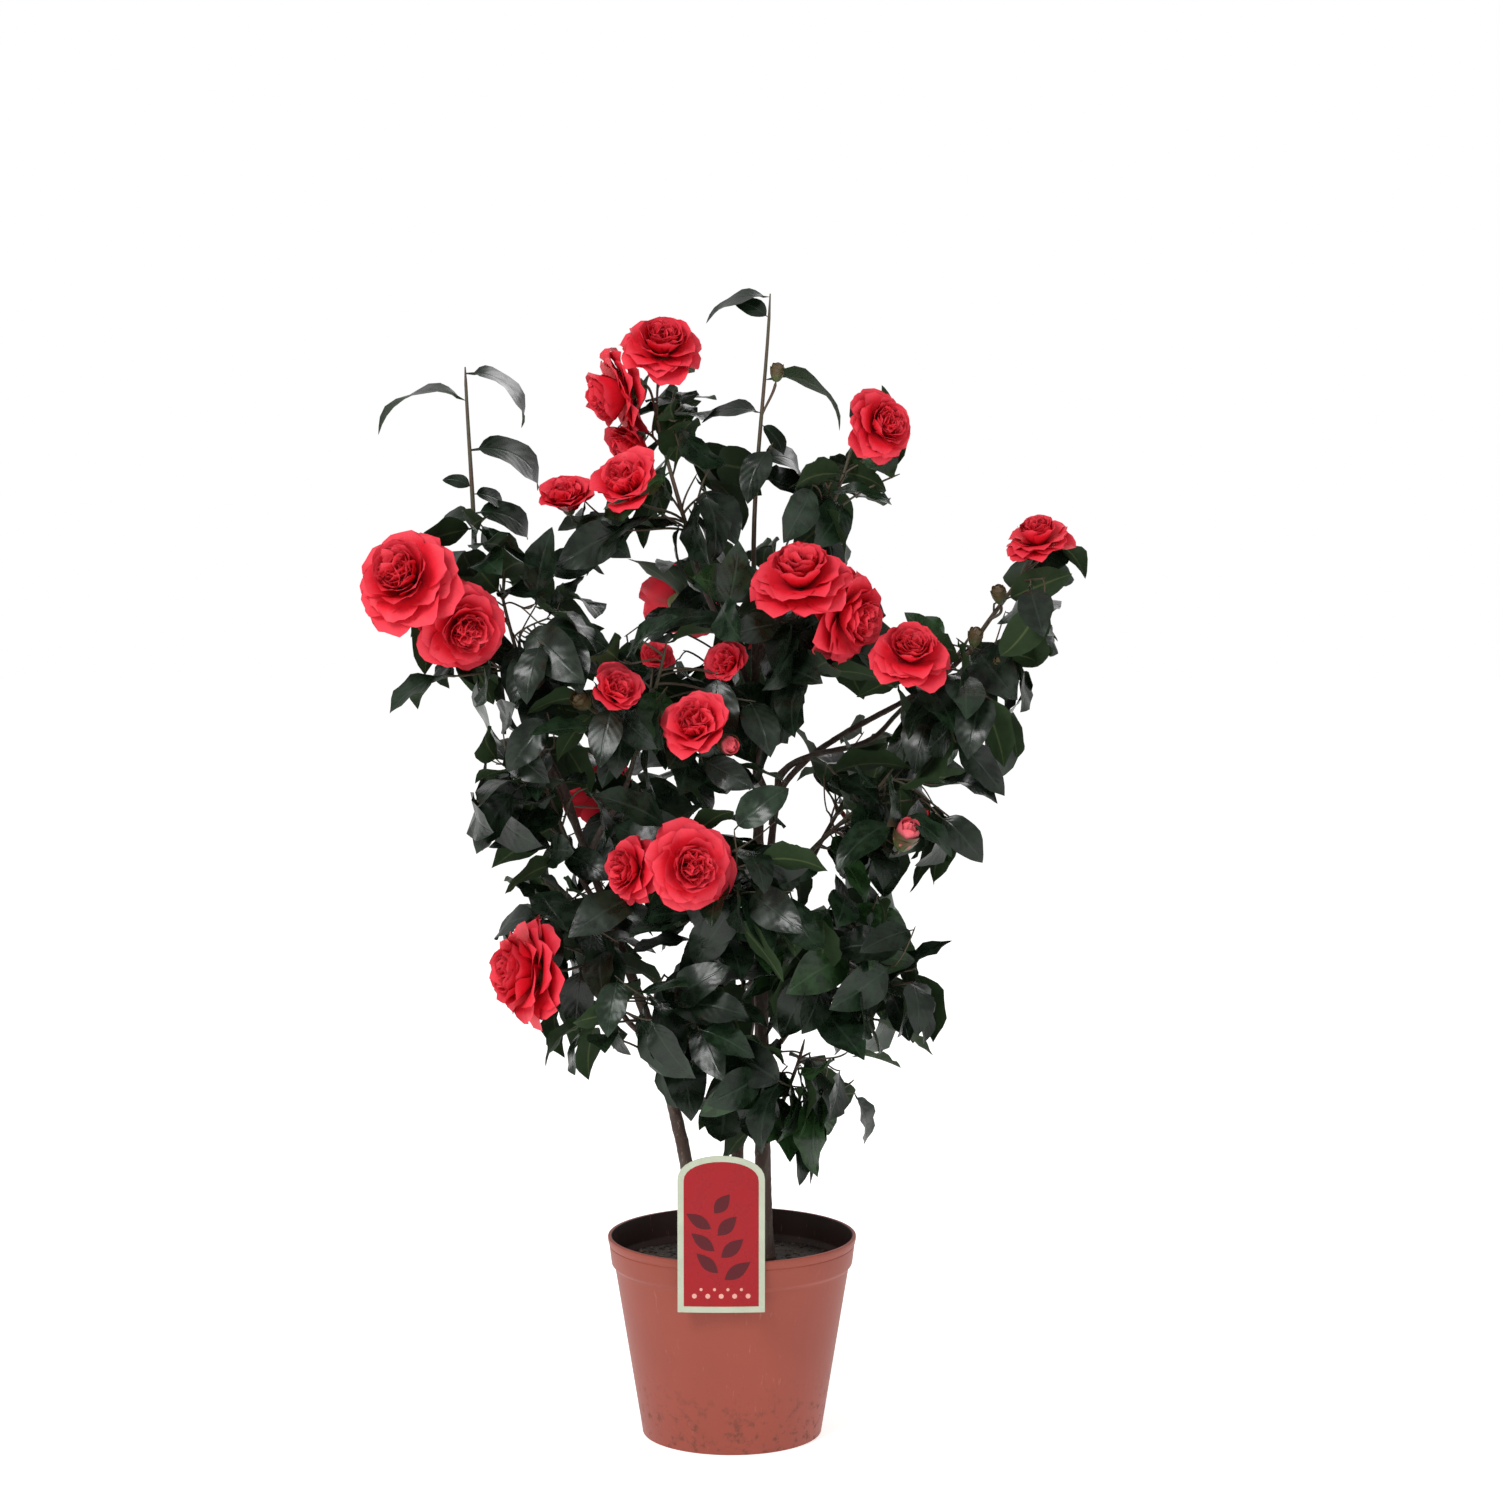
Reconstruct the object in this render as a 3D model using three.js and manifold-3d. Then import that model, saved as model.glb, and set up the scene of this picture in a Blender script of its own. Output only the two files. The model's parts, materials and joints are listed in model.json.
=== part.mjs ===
// A camellia shrub in bloom, standing in its nursery pot: three woody stems, a bough to each mass of foliage,
// and masses of twigs, leaves and blooms. Millimetres, +Z up, the origin under the middle of the pot.

import * as THREE from "three";
import { mergeVertices } from "three/addons/utils/BufferGeometryUtils.js";
import Module from "manifold-3d";

const wasm = await Module();
wasm.setup();

// Driving sizes
const gap = 0.3; // between pieces that touch
const pot = {
  height: 185,
  footRadius: 83,
  rimRadius: 115,
  wall: 2.2,
  floor: 3,
  bandHeight: 29,
  bandStep: 3,
  lip: 3.5,
  holeRadius: 6,
  holeCircle: 62,
  holes: 6,
  sides: 26,
};
const soil = { top: 160, bevel: 8 };
const label = {
  width: 78,
  height: 142,
  top: 282,
  thickness: 1,
  shoulder: 22,
  tongueWidth: 24,
  tongueDrop: 20,
  x: -9,
};

// Stems: where each foot stands on the soil, where its tip is, and its radius at foot and tip
const stems = [
  { name: "main_stem", foot: [29, 8], tip: [20, 6, 800], radius: [8, 3] },
  { name: "left_stem", foot: [-34, -2], tip: [-150, -6, 590], radius: [7, 3] },
  { name: "back_stem", foot: [2, 36], tip: [44, 110, 600], radius: [6.5, 3] },
];
const flare = { share: 0.55, fade: 26 }; // how much thicker a stem's foot is, and how soon that is gone
const stemSides = 8;
const stemSteps = 10;
const boughRadius = [3, 2.1];
const spineRadius = [3.2, 1.6];
const twigTipRadius = 0.9;

// Leaves: sizes that the seeded rule draws from
const leafLength = [70, 98];
const leafWidthShare = 0.48;
const leafThickness = 1.5;
const leafOutline = [[0, 0], [0.36, 1], [0.72, 0.75], [1, 0]]; // share of its length, share of its half width
const arches = [0.35, 0.65, 0.95, 1.25]; // radians that a blade bends from root to tip
const foldShare = 0.1; // how far a blade's edges stand above its midrib
const rootDepth = 0.3; // that a leaf's root goes past the middle of its twig

// The rule of growth
const goldenAngle = THREE.MathUtils.degToRad(137.5);
const tries = 8; // at a place for each twig and leaf before it is skipped
const spaceFullness = 2.6; // power of the space's curve: 2 is an ellipsoid, more has fuller shoulders
const boughEnds = 0.86; // share of the way from the middle of a space to its edge
const twigEnds = { share: 0.5, more: 0.12 }; // the same for a side twig's tip, and what the seed adds
const forks = { from: 0.12, over: 0.8 }; // shares of a spine that side twigs leave it at
const openings = { tip: 0.5, side: 0.9, more: 0.4 }; // radians between a leaf and its twig
const leavesOn = { spine: 5, sideTwig: 4, bloomTwig: 3, budTwig: 1 };
const spacing = { spine: 24, sideTwig: 23, bloomTwig: 19 }; // between the leaves of a twig
const firstLeaf = 0.1; // spacings from a twig's tip to its first leaf
const underBloom = 0.6; // and from a bloom to the first leaf under it
const shortestTwig = 30;
const ownGap = 1.5; // clearance between leaves and twigs of one mass
const otherGap = 6; // and between two masses
const taking = { limb: 3, spine: 2, twig: 1.5, leaf: 3.5 }; // radius of the room that each takes up
const cell = 16; // of the grid that finds what is near a point

// Each mass of foliage: the stem that bears it, how far up that stem its bough leaves or, on the stem's tip,
// no bough, the middle and half-sizes of the space that it keeps to, its side twigs, and its blooms: place,
// way it faces as a turn to the viewer's right and a rise in degrees, width and form. Where a bough's end
// isn't left to the rule, foot is its place. A leader is an upright shoot: the place of its top, the turn in
// degrees of each of its leaves, their spacing, and how much they droop.
const masses = [
  {
    name: "centre_leader",
    stem: "main_stem",
    onTip: true,
    centre: [34, 0, 935],
    reach: [105, 80, 138],
    twigs: 3,
    seed: 11,
    leader: { top: [35, 0, 1050], turns: [180, 5, 190, 350, 165], spacing: 37, droop: 0.1 },
    blooms: [{ at: [47, -6, 976], turn: 50, rise: 60, across: 16, form: "bud" }],
  },
  {
    name: "left_leader",
    stem: "left_stem",
    at: 0.88,
    foot: [-236, 20, 818],
    centre: [-238, 6, 905],
    reach: [105, 70, 112],
    twigs: 0,
    seed: 5,
    leader: { top: [-236, 0, 984], turns: [178, 0, 345, 200, 20], spacing: 27, droop: 0.1 },
    blooms: [],
  },
  {
    name: "left_crown",
    stem: "left_stem",
    at: 1,
    centre: [-210, -20, 740],
    reach: [145, 105, 105],
    twigs: 7,
    seed: 21,
    blooms: [
      { at: [-285, -95, 792], turn: -22, rise: 25, across: 98, form: "open" },
      { at: [-240, -78, 748], turn: 25, rise: -12, across: 88, form: "open" },
    ],
  },
  {
    name: "upper_left",
    stem: "main_stem",
    at: 0.8,
    centre: [-72, 0, 902],
    reach: [120, 100, 124],
    twigs: 7,
    seed: 31,
    blooms: [
      { at: [-62, -40, 998], turn: 10, rise: 48, across: 80, form: "open" },
      { at: [-106, -5, 952], turn: -80, rise: -10, across: 74, form: "open" },
      { at: [-93, -70, 880], turn: -25, rise: 40, across: 66, form: "cup" },
      { at: [-151, -20, 868], turn: -15, rise: 68, across: 46, form: "cup" },
    ],
  },
  {
    name: "upper_right",
    stem: "main_stem",
    at: 0.86,
    centre: [112, 10, 880],
    reach: [98, 90, 92],
    twigs: 6,
    seed: 41,
    blooms: [{ at: [135, -40, 931], turn: 38, rise: 12, across: 74, form: "open" }],
  },
  {
    name: "centre_crown",
    stem: "main_stem",
    at: 0.72,
    centre: [62, -30, 752],
    reach: [112, 105, 104],
    twigs: 7,
    seed: 51,
    blooms: [
      { at: [61, -90, 797], turn: -8, rise: 55, across: 96, form: "open" },
      { at: [106, -72, 760], turn: 55, rise: -8, across: 92, form: "open" },
    ],
  },
  {
    name: "right_crown",
    stem: "back_stem",
    at: 1,
    centre: [218, -10, 694],
    reach: [125, 110, 106],
    twigs: 8,
    seed: 61,
    blooms: [
      { at: [159, -90, 729], turn: 5, rise: 45, across: 78, form: "open" },
      { at: [220, -30, 738], turn: 20, rise: 70, across: 18, form: "bud" },
      { at: [241, -30, 712], turn: 40, rise: 40, across: 20, form: "bud" },
    ],
  },
  {
    name: "right_leader",
    stem: "back_stem",
    at: 0.96,
    centre: [283, 0, 784],
    reach: [88, 85, 100],
    twigs: 3,
    seed: 71,
    blooms: [
      { at: [277, -20, 830], turn: -25, rise: 62, across: 66, form: "open" },
      { at: [243, -20, 776], turn: -30, rise: 65, across: 18, form: "bud" },
    ],
  },
  {
    name: "heart",
    stem: "left_stem",
    at: 0.86,
    centre: [-58, -60, 690],
    reach: [122, 98, 104],
    twigs: 7,
    seed: 81,
    blooms: [
      { at: [-101, -100, 696], turn: 20, rise: 35, across: 50, form: "cup" },
      { at: [-69, -40, 722], turn: 10, rise: 40, across: 34, form: "cup" },
      { at: [-4, -70, 719], turn: -30, rise: 20, across: 42, form: "cup" },
      { at: [-30, -120, 668], turn: -20, rise: 30, across: 64, form: "cup" },
      { at: [-5, -110, 650], turn: 30, rise: -10, across: 24, form: "bud" },
      { at: [-132, -80, 684], turn: -30, rise: 30, across: 22, form: "bud" },
    ],
  },
  {
    name: "left_flank",
    stem: "left_stem",
    at: 0.7,
    centre: [-184, -22, 606],
    reach: [110, 100, 98],
    twigs: 7,
    seed: 91,
    blooms: [],
  },
  {
    name: "right_flank",
    stem: "main_stem",
    at: 0.55,
    centre: [148, -10, 580],
    reach: [116, 100, 90],
    twigs: 6,
    seed: 101,
    blooms: [{ at: [155, -80, 562], turn: 25, rise: 50, across: 32, form: "bud" }],
  },
  {
    name: "lower_left",
    stem: "left_stem",
    at: 0.45,
    centre: [-158, -30, 462],
    reach: [95, 98, 112],
    twigs: 7,
    seed: 111,
    blooms: [{ at: [-186, -85, 445], turn: -62, rise: 5, across: 98, form: "open" }],
  },
  {
    name: "lower_front",
    stem: "main_stem",
    at: 0.38,
    centre: [-34, -100, 522],
    reach: [118, 95, 104],
    twigs: 8,
    seed: 121,
    blooms: [
      { at: [-34, -148, 545], turn: 12, rise: 5, across: 84, form: "open" },
      { at: [-89, -128, 540], turn: -50, rise: 8, across: 66, form: "open" },
    ],
  },
  {
    name: "lower_right",
    stem: "main_stem",
    at: 0.3,
    centre: [124, -20, 424],
    reach: [124, 105, 104],
    twigs: 7,
    seed: 131,
    blooms: [],
  },
  {
    name: "left_skirt",
    stem: "left_stem",
    at: 0.3,
    centre: [-70, -60, 392],
    reach: [114, 95, 92],
    twigs: 7,
    seed: 141,
    blooms: [],
  },
  {
    name: "right_skirt",
    stem: "main_stem",
    at: 0.17,
    centre: [66, -60, 334],
    reach: [100, 90, 96],
    twigs: 7,
    seed: 151,
    blooms: [],
  },
  {
    name: "back_crown",
    stem: "back_stem",
    at: 0.9,
    centre: [-15, 150, 730],
    reach: [125, 95, 105],
    twigs: 6,
    seed: 161,
    blooms: [
      { at: [-50, 205, 770], turn: 165, rise: 30, across: 88, form: "open" },
      { at: [40, 212, 735], turn: 200, rise: 10, across: 76, form: "open" },
    ],
  },
  {
    name: "back_left",
    stem: "back_stem",
    at: 0.62,
    centre: [-105, 130, 560],
    reach: [105, 90, 100],
    twigs: 6,
    seed: 171,
    blooms: [{ at: [-140, 190, 590], turn: 210, rise: 25, across: 84, form: "open" }],
  },
  {
    name: "back_right",
    stem: "back_stem",
    at: 0.7,
    centre: [130, 145, 580],
    reach: [108, 90, 100],
    twigs: 6,
    seed: 181,
    blooms: [{ at: [160, 208, 560], turn: 155, rise: 20, across: 84, form: "open" }],
  },
  {
    name: "back_skirt",
    stem: "back_stem",
    at: 0.35,
    centre: [10, 120, 420],
    reach: [115, 90, 84],
    twigs: 6,
    seed: 191,
    blooms: [],
  },
];

// Rings of the three forms of bloom: share of its radius, and height as a share of it
const bloomForms = {
  open: {
    sides: 7,
    scallop: 0.07,
    rings: [[0.12, -0.5], [0.9, -0.12], [1, 0.06], [0.7, 0.08], [0.6, 0.32], [0.34, 0.24]],
    crown: 0.46,
  },
  cup: {
    sides: 7,
    scallop: 0.05,
    rings: [[0.2, -0.6], [0.84, -0.05], [0.94, 0.4], [0.6, 0.4]],
    crown: 0.3,
  },
  bud: { sides: 4, scallop: 0, rings: [[0.6, -0.8], [1, 0], [0.6, 0.8]], crown: 1.25 },
};

const up = new THREE.Vector3(0, 0, 1);

function point(xyz) {
  return new THREE.Vector3(...xyz);
}

function mix(a, b, share) {
  return a.clone().lerp(b, share);
}

// The point or direction `a` moved by `length` times `b`
function along(a, b, length) {
  return a.clone().addScaledVector(b, length);
}

// Straight from one point to another, of length 1
function towards(from, to) {
  return to.clone().sub(from).normalize();
}

// Between the two ends of a range
function taper([from, to], share) {
  return THREE.MathUtils.lerp(from, to, share);
}

// Seeded random numbers from 0 to 1, the same on every run
function seeded(seed) {
  let state = seed >>> 0;
  return () => {
    state = (state + 0x6d2b79f5) >>> 0;
    let mixed = Math.imul(state ^ (state >>> 15), 1 | state);
    mixed = (mixed + Math.imul(mixed ^ (mixed >>> 7), 61 | mixed)) ^ mixed;
    return ((mixed ^ (mixed >>> 14)) >>> 0) / 4294967296;
  };
}

// A limb's line, which leaves `a` along `out` and reaches `b` along `into`
function line(a, b, out, into) {
  const handle = a.distanceTo(b) / 3;
  return new THREE.CubicBezierCurve3(a, along(a, out, handle), along(b, into, -handle), b);
}

// Two directions square to `axis`: the first turns to +Z, or to +X on an upright axis
function squareTo(axis) {
  const aim = Math.abs(axis.z) > 0.9 ? new THREE.Vector3(1, 0, 0) : up;
  const first = along(aim, axis, -aim.dot(axis)).normalize();
  return [first, new THREE.Vector3().crossVectors(axis, first)];
}

// `first` turned by an angle towards `second`
function turned(first, second, angle) {
  return along(first.clone().multiplyScalar(Math.cos(angle)), second, Math.sin(angle));
}

// The way a bloom faces: `turn` degrees to the viewer's right of straight ahead, `rise` above level
function facing(turn, rise) {
  const [t, r] = [turn, rise].map(THREE.MathUtils.degToRad);
  return new THREE.Vector3(Math.sin(t) * Math.cos(r), -Math.cos(t) * Math.cos(r), Math.sin(r));
}

// Level, away from the middle of the shrub
function outwards(where) {
  return new THREE.Vector3(where.x, where.y, 0).normalize();
}

function solidFrom(vertProperties, triVerts) {
  return new wasm.Manifold(new wasm.Mesh({ numProp: 3, vertProperties, triVerts }));
}

// The closed solid through rings of points, each ring counter-clockwise about the way it travels
function loft(rings, first, last) {
  const sides = rings[0].length;
  const points = [...rings.flat(), first, last];
  const [tail, nose] = [points.length - 2, points.length - 1];
  const end = (rings.length - 1) * sides;
  const triangles = [];
  for (let j = 0; j < sides; j++) {
    const next = (j + 1) % sides;
    triangles.push(tail, next, j, nose, end + j, end + next);
    for (let i = 0; i < end; i += sides) {
      triangles.push(i + j, i + next, i + sides + next, i + j, i + sides + next, i + sides + j);
    }
  }
  return solidFrom(new Float32Array(points.flatMap((p) => p.toArray())), new Uint32Array(triangles));
}

// A three.js geometry as a solid
function solidOf(geometry) {
  const bare = geometry.clone();
  bare.deleteAttribute("normal");
  bare.deleteAttribute("uv");
  const merged = mergeVertices(bare, 1e-4);
  return solidFrom(merged.attributes.position.array, new Uint32Array(merged.index.array));
}

// A tapering limb along a curve. `grown` thickens it, for cutting its neighbour clear of it
function limbSolid(curve, radii, sides, steps, grown = 0) {
  const { tangents, normals, binormals } = curve.computeFrenetFrames(steps);
  const end = along(curve.getPointAt(1), tangents[steps], grown);
  const rings = tangents.map((_, i) => {
    const middle = i === steps ? end : curve.getPointAt(i / steps);
    const radius = radii(i / steps) + grown;
    return Array.from({ length: sides }, (_, j) =>
      along(middle, turned(normals[i], binormals[i], (2 * Math.PI * j) / sides), radius));
  });
  return loft(rings, curve.getPointAt(0), end);
}

// What is already grown, as balls in the cells of a grid: leaves and twigs keep clear of them
const taken = new Map();

function cellsNear(where, distance) {
  const [low, high] = [-distance, distance].map((off) =>
    where.toArray().map((value) => Math.floor((value + off) / cell)));
  const keys = [];
  for (let i = low[0]; i <= high[0]; i++) {
    for (let j = low[1]; j <= high[1]; j++) {
      for (let k = low[2]; k <= high[2]; k++) keys.push(`${i},${j},${k}`);
    }
  }
  return keys;
}

function take(centre, radius, owner) {
  for (const key of cellsNear(centre, radius + otherGap)) {
    if (!taken.has(key)) taken.set(key, []);
    taken.get(key).push({ centre, radius, owner });
  }
}

function takeLine(curve, radius, owner) {
  const steps = Math.ceil(curve.getLength() / 5);
  for (let i = 0; i <= steps; i++) take(curve.getPoint(i / steps), radius, owner);
}

// True if a point is too near something grown by another owner or, with `own`, by this one
function blocked(where, owner, own) {
  return cellsNear(where, 0).some((key) => (taken.get(key) ?? []).some((ball) => {
    if (ball.owner === owner && !own) return false;
    const clear = ball.radius + (ball.owner === owner ? ownGap : otherGap);
    return ball.centre.distanceToSquared(where) < clear * clear;
  }));
}

// A mass's space: an ellipsoid with full shoulders
function insideSpace(mass, where) {
  const off = where.clone().sub(point(mass.centre)).divide(point(mass.reach));
  return off.toArray().reduce((sum, share) => sum + Math.abs(share) ** spaceFullness, 0) <= 1;
}

// From the middle of a mass's space to its ellipsoid, along `way`
function roomAlong(mass, way) {
  return 1 / way.clone().divide(point(mass.reach)).length();
}

// The stems rise from the soil, leaning more and more
const grownStems = new Map();
for (const { name, foot, tip, radius } of stems) {
  const [from, to] = [point([...foot, soil.top + gap]), point(tip)];
  const curve = line(from, to, up, mix(up, towards(from, to), 1.15).normalize());
  const radii = (t) => taper(radius, t) + flare.share * radius[0] * Math.exp(-t * flare.fade);
  grownStems.set(name, { curve, radii });
  takeLine(curve, radius[0], "limbs");
}

// A bough leaves its stem and ends just inside the space of its mass
function growBough(mass) {
  const { curve } = grownStems.get(mass.stem);
  const start = curve.getPoint(mass.at);
  const middle = point(mass.centre);
  const away = start.clone().sub(middle);
  const foot = mass.foot ? point(mass.foot) : along(middle, away, boughEnds * roomAlong(mass, away));
  const out = along(towards(start, foot), curve.getTangent(mass.at), 0.9).normalize();
  return line(start, foot, out, along(towards(foot, middle), up, 0.6).normalize());
}

// A mass's spine goes on from its bough, or from the tip of its stem
const growing = masses.map((mass) => {
  const bough = mass.onTip ? null : growBough(mass);
  const bearer = bough ?? grownStems.get(mass.stem).curve;
  if (bough) takeLine(bough, taking.limb, "limbs");
  const foot = along(bearer.getPoint(1), bearer.getTangent(1), gap);
  const top = point(mass.leader?.top ?? along(point(mass.centre), up, 0.45 * mass.reach[2]).toArray());
  const spine = line(foot, top, bearer.getTangent(1), along(towards(foot, top), up, 0.5).normalize());
  takeLine(spine, taking.spine, mass.name);
  return { mass, bough, spine, random: seeded(mass.seed), twigs: [], leaves: [], blooms: [] };
});

// The place on a spine, as a share of its length, that is nearest to a point
function nearestOn(spine, aim) {
  const shares = Array.from({ length: 9 }, (_, i) => 0.05 + i * 0.1);
  const distances = shares.map((t) => spine.getPoint(t).distanceTo(aim));
  return shares[distances.indexOf(Math.min(...distances))];
}

// A twig to each bloom leaves the spine a little below it and comes up behind it
for (const { mass, spine, blooms, twigs } of growing) {
  for (const bloom of mass.blooms) {
    const face = facing(bloom.turn, bloom.rise);
    const at = point(bloom.at);
    const radius = bloom.across / 2;
    const bud = bloom.form === "bud";
    const back = along(at, face, radius * bloomForms[bloom.form].rings[0][1]);
    const fork = nearestOn(spine, along(along(back, face, -20), up, -25));
    const start = spine.getPoint(fork);
    const curve = line(start, back, mix(spine.getTangent(fork), towards(start, back), 0.6).normalize(), face);
    const count = bud ? leavesOn.budTwig : leavesOn.bloomTwig;
    takeLine(curve, taking.twig, mass.name);
    twigs.push({ curve, fork, count, from: underBloom, spacing: spacing.bloomTwig, bears: true });
    blooms.push({ at, face, radius, form: bloom.form });
    take(at, radius * 0.9, mass.name);
    if (!bud) take(along(at, face, radius * 0.9), radius * 0.75, mass.name);
  }
}

// Side twigs leave the spine by the golden angle and stop well short of the edge of the mass's space
function growSideTwig({ mass, spine, twigs, random }, index) {
  const [swung, raised, stretch] = [random(), random(), random()];
  const fork = forks.from + (forks.over * (index + 0.5)) / mass.twigs;
  const start = spine.getPoint(fork);
  const rise = -0.25 + 1.05 * fork + 0.35 * (raised - 0.5);
  for (let attempt = 0; attempt < tries; attempt++) {
    const turn = index * goldenAngle + swung * 0.7 + attempt * 0.8 + mass.seed;
    const level = new THREE.Vector3(Math.cos(turn), Math.sin(turn), 0);
    const way = turned(level, up, rise);
    const share = twigEnds.share + twigEnds.more * stretch;
    const tip = along(point(mass.centre), way, roomAlong(mass, way) * share);
    const out = along(towards(start, tip), up, 0.5).normalize();
    const curve = line(start, tip, out, along(way, up, 0.15).normalize());
    const stops = Array.from({ length: 10 }, (_, k) => (k + 1) / 10);
    const clear = stops.every((t) => !blocked(curve.getPoint(t), mass.name, t > 0.25));
    if (start.distanceTo(tip) < shortestTwig || !clear) continue;
    takeLine(curve, taking.twig, mass.name);
    const leaved = { count: leavesOn.sideTwig, from: firstLeaf, spacing: spacing.sideTwig, tipped: true };
    twigs.push({ curve, fork, ...leaved });
    return;
  }
}

for (const grown of growing) {
  const { leader, twigs } = grown.mass;
  for (let index = 0; index < twigs; index++) growSideTwig(grown, index);
  grown.twigs.push({
    curve: grown.spine,
    count: leader?.turns.length ?? leavesOn.spine,
    from: firstLeaf,
    spacing: leader?.spacing ?? spacing.spine,
    tipped: !leader,
    turns: leader?.turns.map(THREE.MathUtils.degToRad),
    bears: true,
  });
}

// A point of a blade: `s` from root to tip along its bent midrib, `spread` to the side of it
function onLeaf(leaf, s, spread) {
  const bend = leaf.arch * s;
  const run = (leaf.length * Math.sin(bend)) / leaf.arch;
  const sink = (leaf.length * (1 - Math.cos(bend))) / leaf.arch;
  const lift = Math.abs(spread) * foldShare - sink;
  return along(along(along(leaf.root, leaf.way, run), leaf.top, lift), leaf.side, spread);
}

// Half the width of a blade, `s` of the way from root to tip
function halfWidth(leaf, s) {
  const next = leafOutline.findIndex(([station]) => station >= s);
  const [[from, narrow], [to, wide]] = [leafOutline[next - 1], leafOutline[next]];
  const share = taper([narrow, wide], (s - from) / (to - from));
  return (share * leaf.length * leafWidthShare) / 2;
}

// Points all over a blade, each with its share of the way to the tip
function leafPoints(leaf) {
  const rows = Array.from({ length: 9 }, (_, i) => (i + 1) / 9);
  const columns = [-0.9, -0.45, 0, 0.45, 0.9];
  return rows.flatMap((s) => columns.map((t) => [s, onLeaf(leaf, s, t * halfWidth(leaf, s))]));
}

function leafFits(mass, leaf) {
  return leafPoints(leaf).every(([s, where]) =>
    insideSpace(mass, where) && !blocked(where, mass.name, s > 0.2));
}

// A leaf at a place on its twig: it opens away from the twig by `open`, hangs, and faces the light
function leafAt(twig, t, turn, open, droop, draws) {
  const [root, axis] = [twig.curve.getPoint(t), twig.curve.getTangent(t)];
  const out = turned(...squareTo(axis), turn);
  const way = turned(axis, out, open);
  way.z -= droop * (0.25 + 0.6 * draws.leaned);
  way.normalize();
  const light = along(along(up, out, 0.35), outwards(root), 0.6 * droop);
  const level = along(light, way, -light.dot(way)).normalize();
  const roll = (draws.rolled - 0.5) * (twig.turns ? 1.4 : 2.4);
  const top = turned(level, new THREE.Vector3().crossVectors(level, way), roll);
  return {
    root: along(root, way, -rootDepth),
    way,
    top,
    side: new THREE.Vector3().crossVectors(top, way),
    length: taper(leafLength, draws.grown),
    arch: arches[twig.turns ? arches.length - 1 : Math.floor(draws.bent * arches.length)],
  };
}

// Leaves stand round a twig by the golden angle from its tip down
for (const { mass, twigs, leaves, random } of growing) {
  const droop = mass.leader?.droop ?? 1;
  for (const twig of twigs) {
    const length = twig.curve.getLength();
    const begin = random() * 2 * Math.PI;
    for (let i = 0; i < twig.count; i++) {
      const draws = { grown: random(), bent: random(), leaned: random(), rolled: random() };
      const t = 1 - ((i + twig.from) * twig.spacing * (0.85 + 0.3 * random())) / length;
      if (t < 0.08) continue;
      const open = i === 0 && twig.tipped ? openings.tip : openings.side + openings.more * draws.leaned;
      for (let attempt = 0; attempt < tries; attempt++) {
        const turn = twig.turns ? twig.turns[i] + 0.44 * attempt : begin + i * goldenAngle + attempt;
        const leaf = leafAt(twig, t, turn, open, droop, draws);
        if (!leafFits(mass, leaf)) continue;
        for (const [, where] of leafPoints(leaf)) take(where, taking.leaf, mass.name);
        leaves.push(leaf);
        twig.bears = true;
        break;
      }
    }
  }
}

// Solids of the parts of a mass
function leafSolid(leaf) {
  const rings = leafOutline.slice(1, -1).map(([s]) => [
    onLeaf(leaf, s, halfWidth(leaf, s)),
    onLeaf(leaf, s, -halfWidth(leaf, s)),
    along(onLeaf(leaf, s, 0), leaf.top, -leafThickness),
  ]);
  return loft(rings, leaf.root, onLeaf(leaf, 1, 0));
}

function bloomSolid({ at, face, radius, form }) {
  const { sides, scallop, rings, crown } = bloomForms[form];
  const [first, second] = squareTo(face);
  const points = rings.map(([share, height], i) =>
    Array.from({ length: sides }, (_, j) => {
      const reach = share * radius * (1 + scallop * ((i + j) % 2 ? 1 : -1));
      return along(along(at, face, height * radius), turned(first, second, (2 * Math.PI * j) / sides), reach);
    }));
  return loft(points, along(at, face, (rings[0][1] - 0.03) * radius), along(at, face, crown * radius));
}

function twigSolid({ curve, fork }) {
  const thick = 0.5 * taper(spineRadius, fork);
  return limbSolid(curve, (t) => taper([thick, twigTipRadius], t), 3, 2);
}

// All of a mass fused to one solid; a scrap that nothing joins to its spine is dropped
function massSolid({ spine, twigs, leaves, blooms }) {
  const sideTwigs = twigs.filter((twig) => twig.bears && twig.curve !== spine);
  const fused = wasm.Manifold.union([
    limbSolid(spine, (t) => taper(spineRadius, t), 3, 3),
    ...sideTwigs.map(twigSolid),
    ...leaves.map(leafSolid),
    ...blooms.map(bloomSolid),
  ]);
  return fused.decompose().sort((a, b) => b.volume() - a.volume())[0];
}

// Radius of the pot's wall outside, under its band
const shoulder = pot.rimRadius - pot.lip - pot.bandStep;
const bandFoot = pot.height - pot.bandHeight;

function turnedSolid(outline) {
  const profile = outline.map(([r, z]) => new THREE.Vector2(r, z));
  return solidOf(new THREE.LatheGeometry(profile, pot.sides).rotateX(Math.PI / 2));
}

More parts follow.
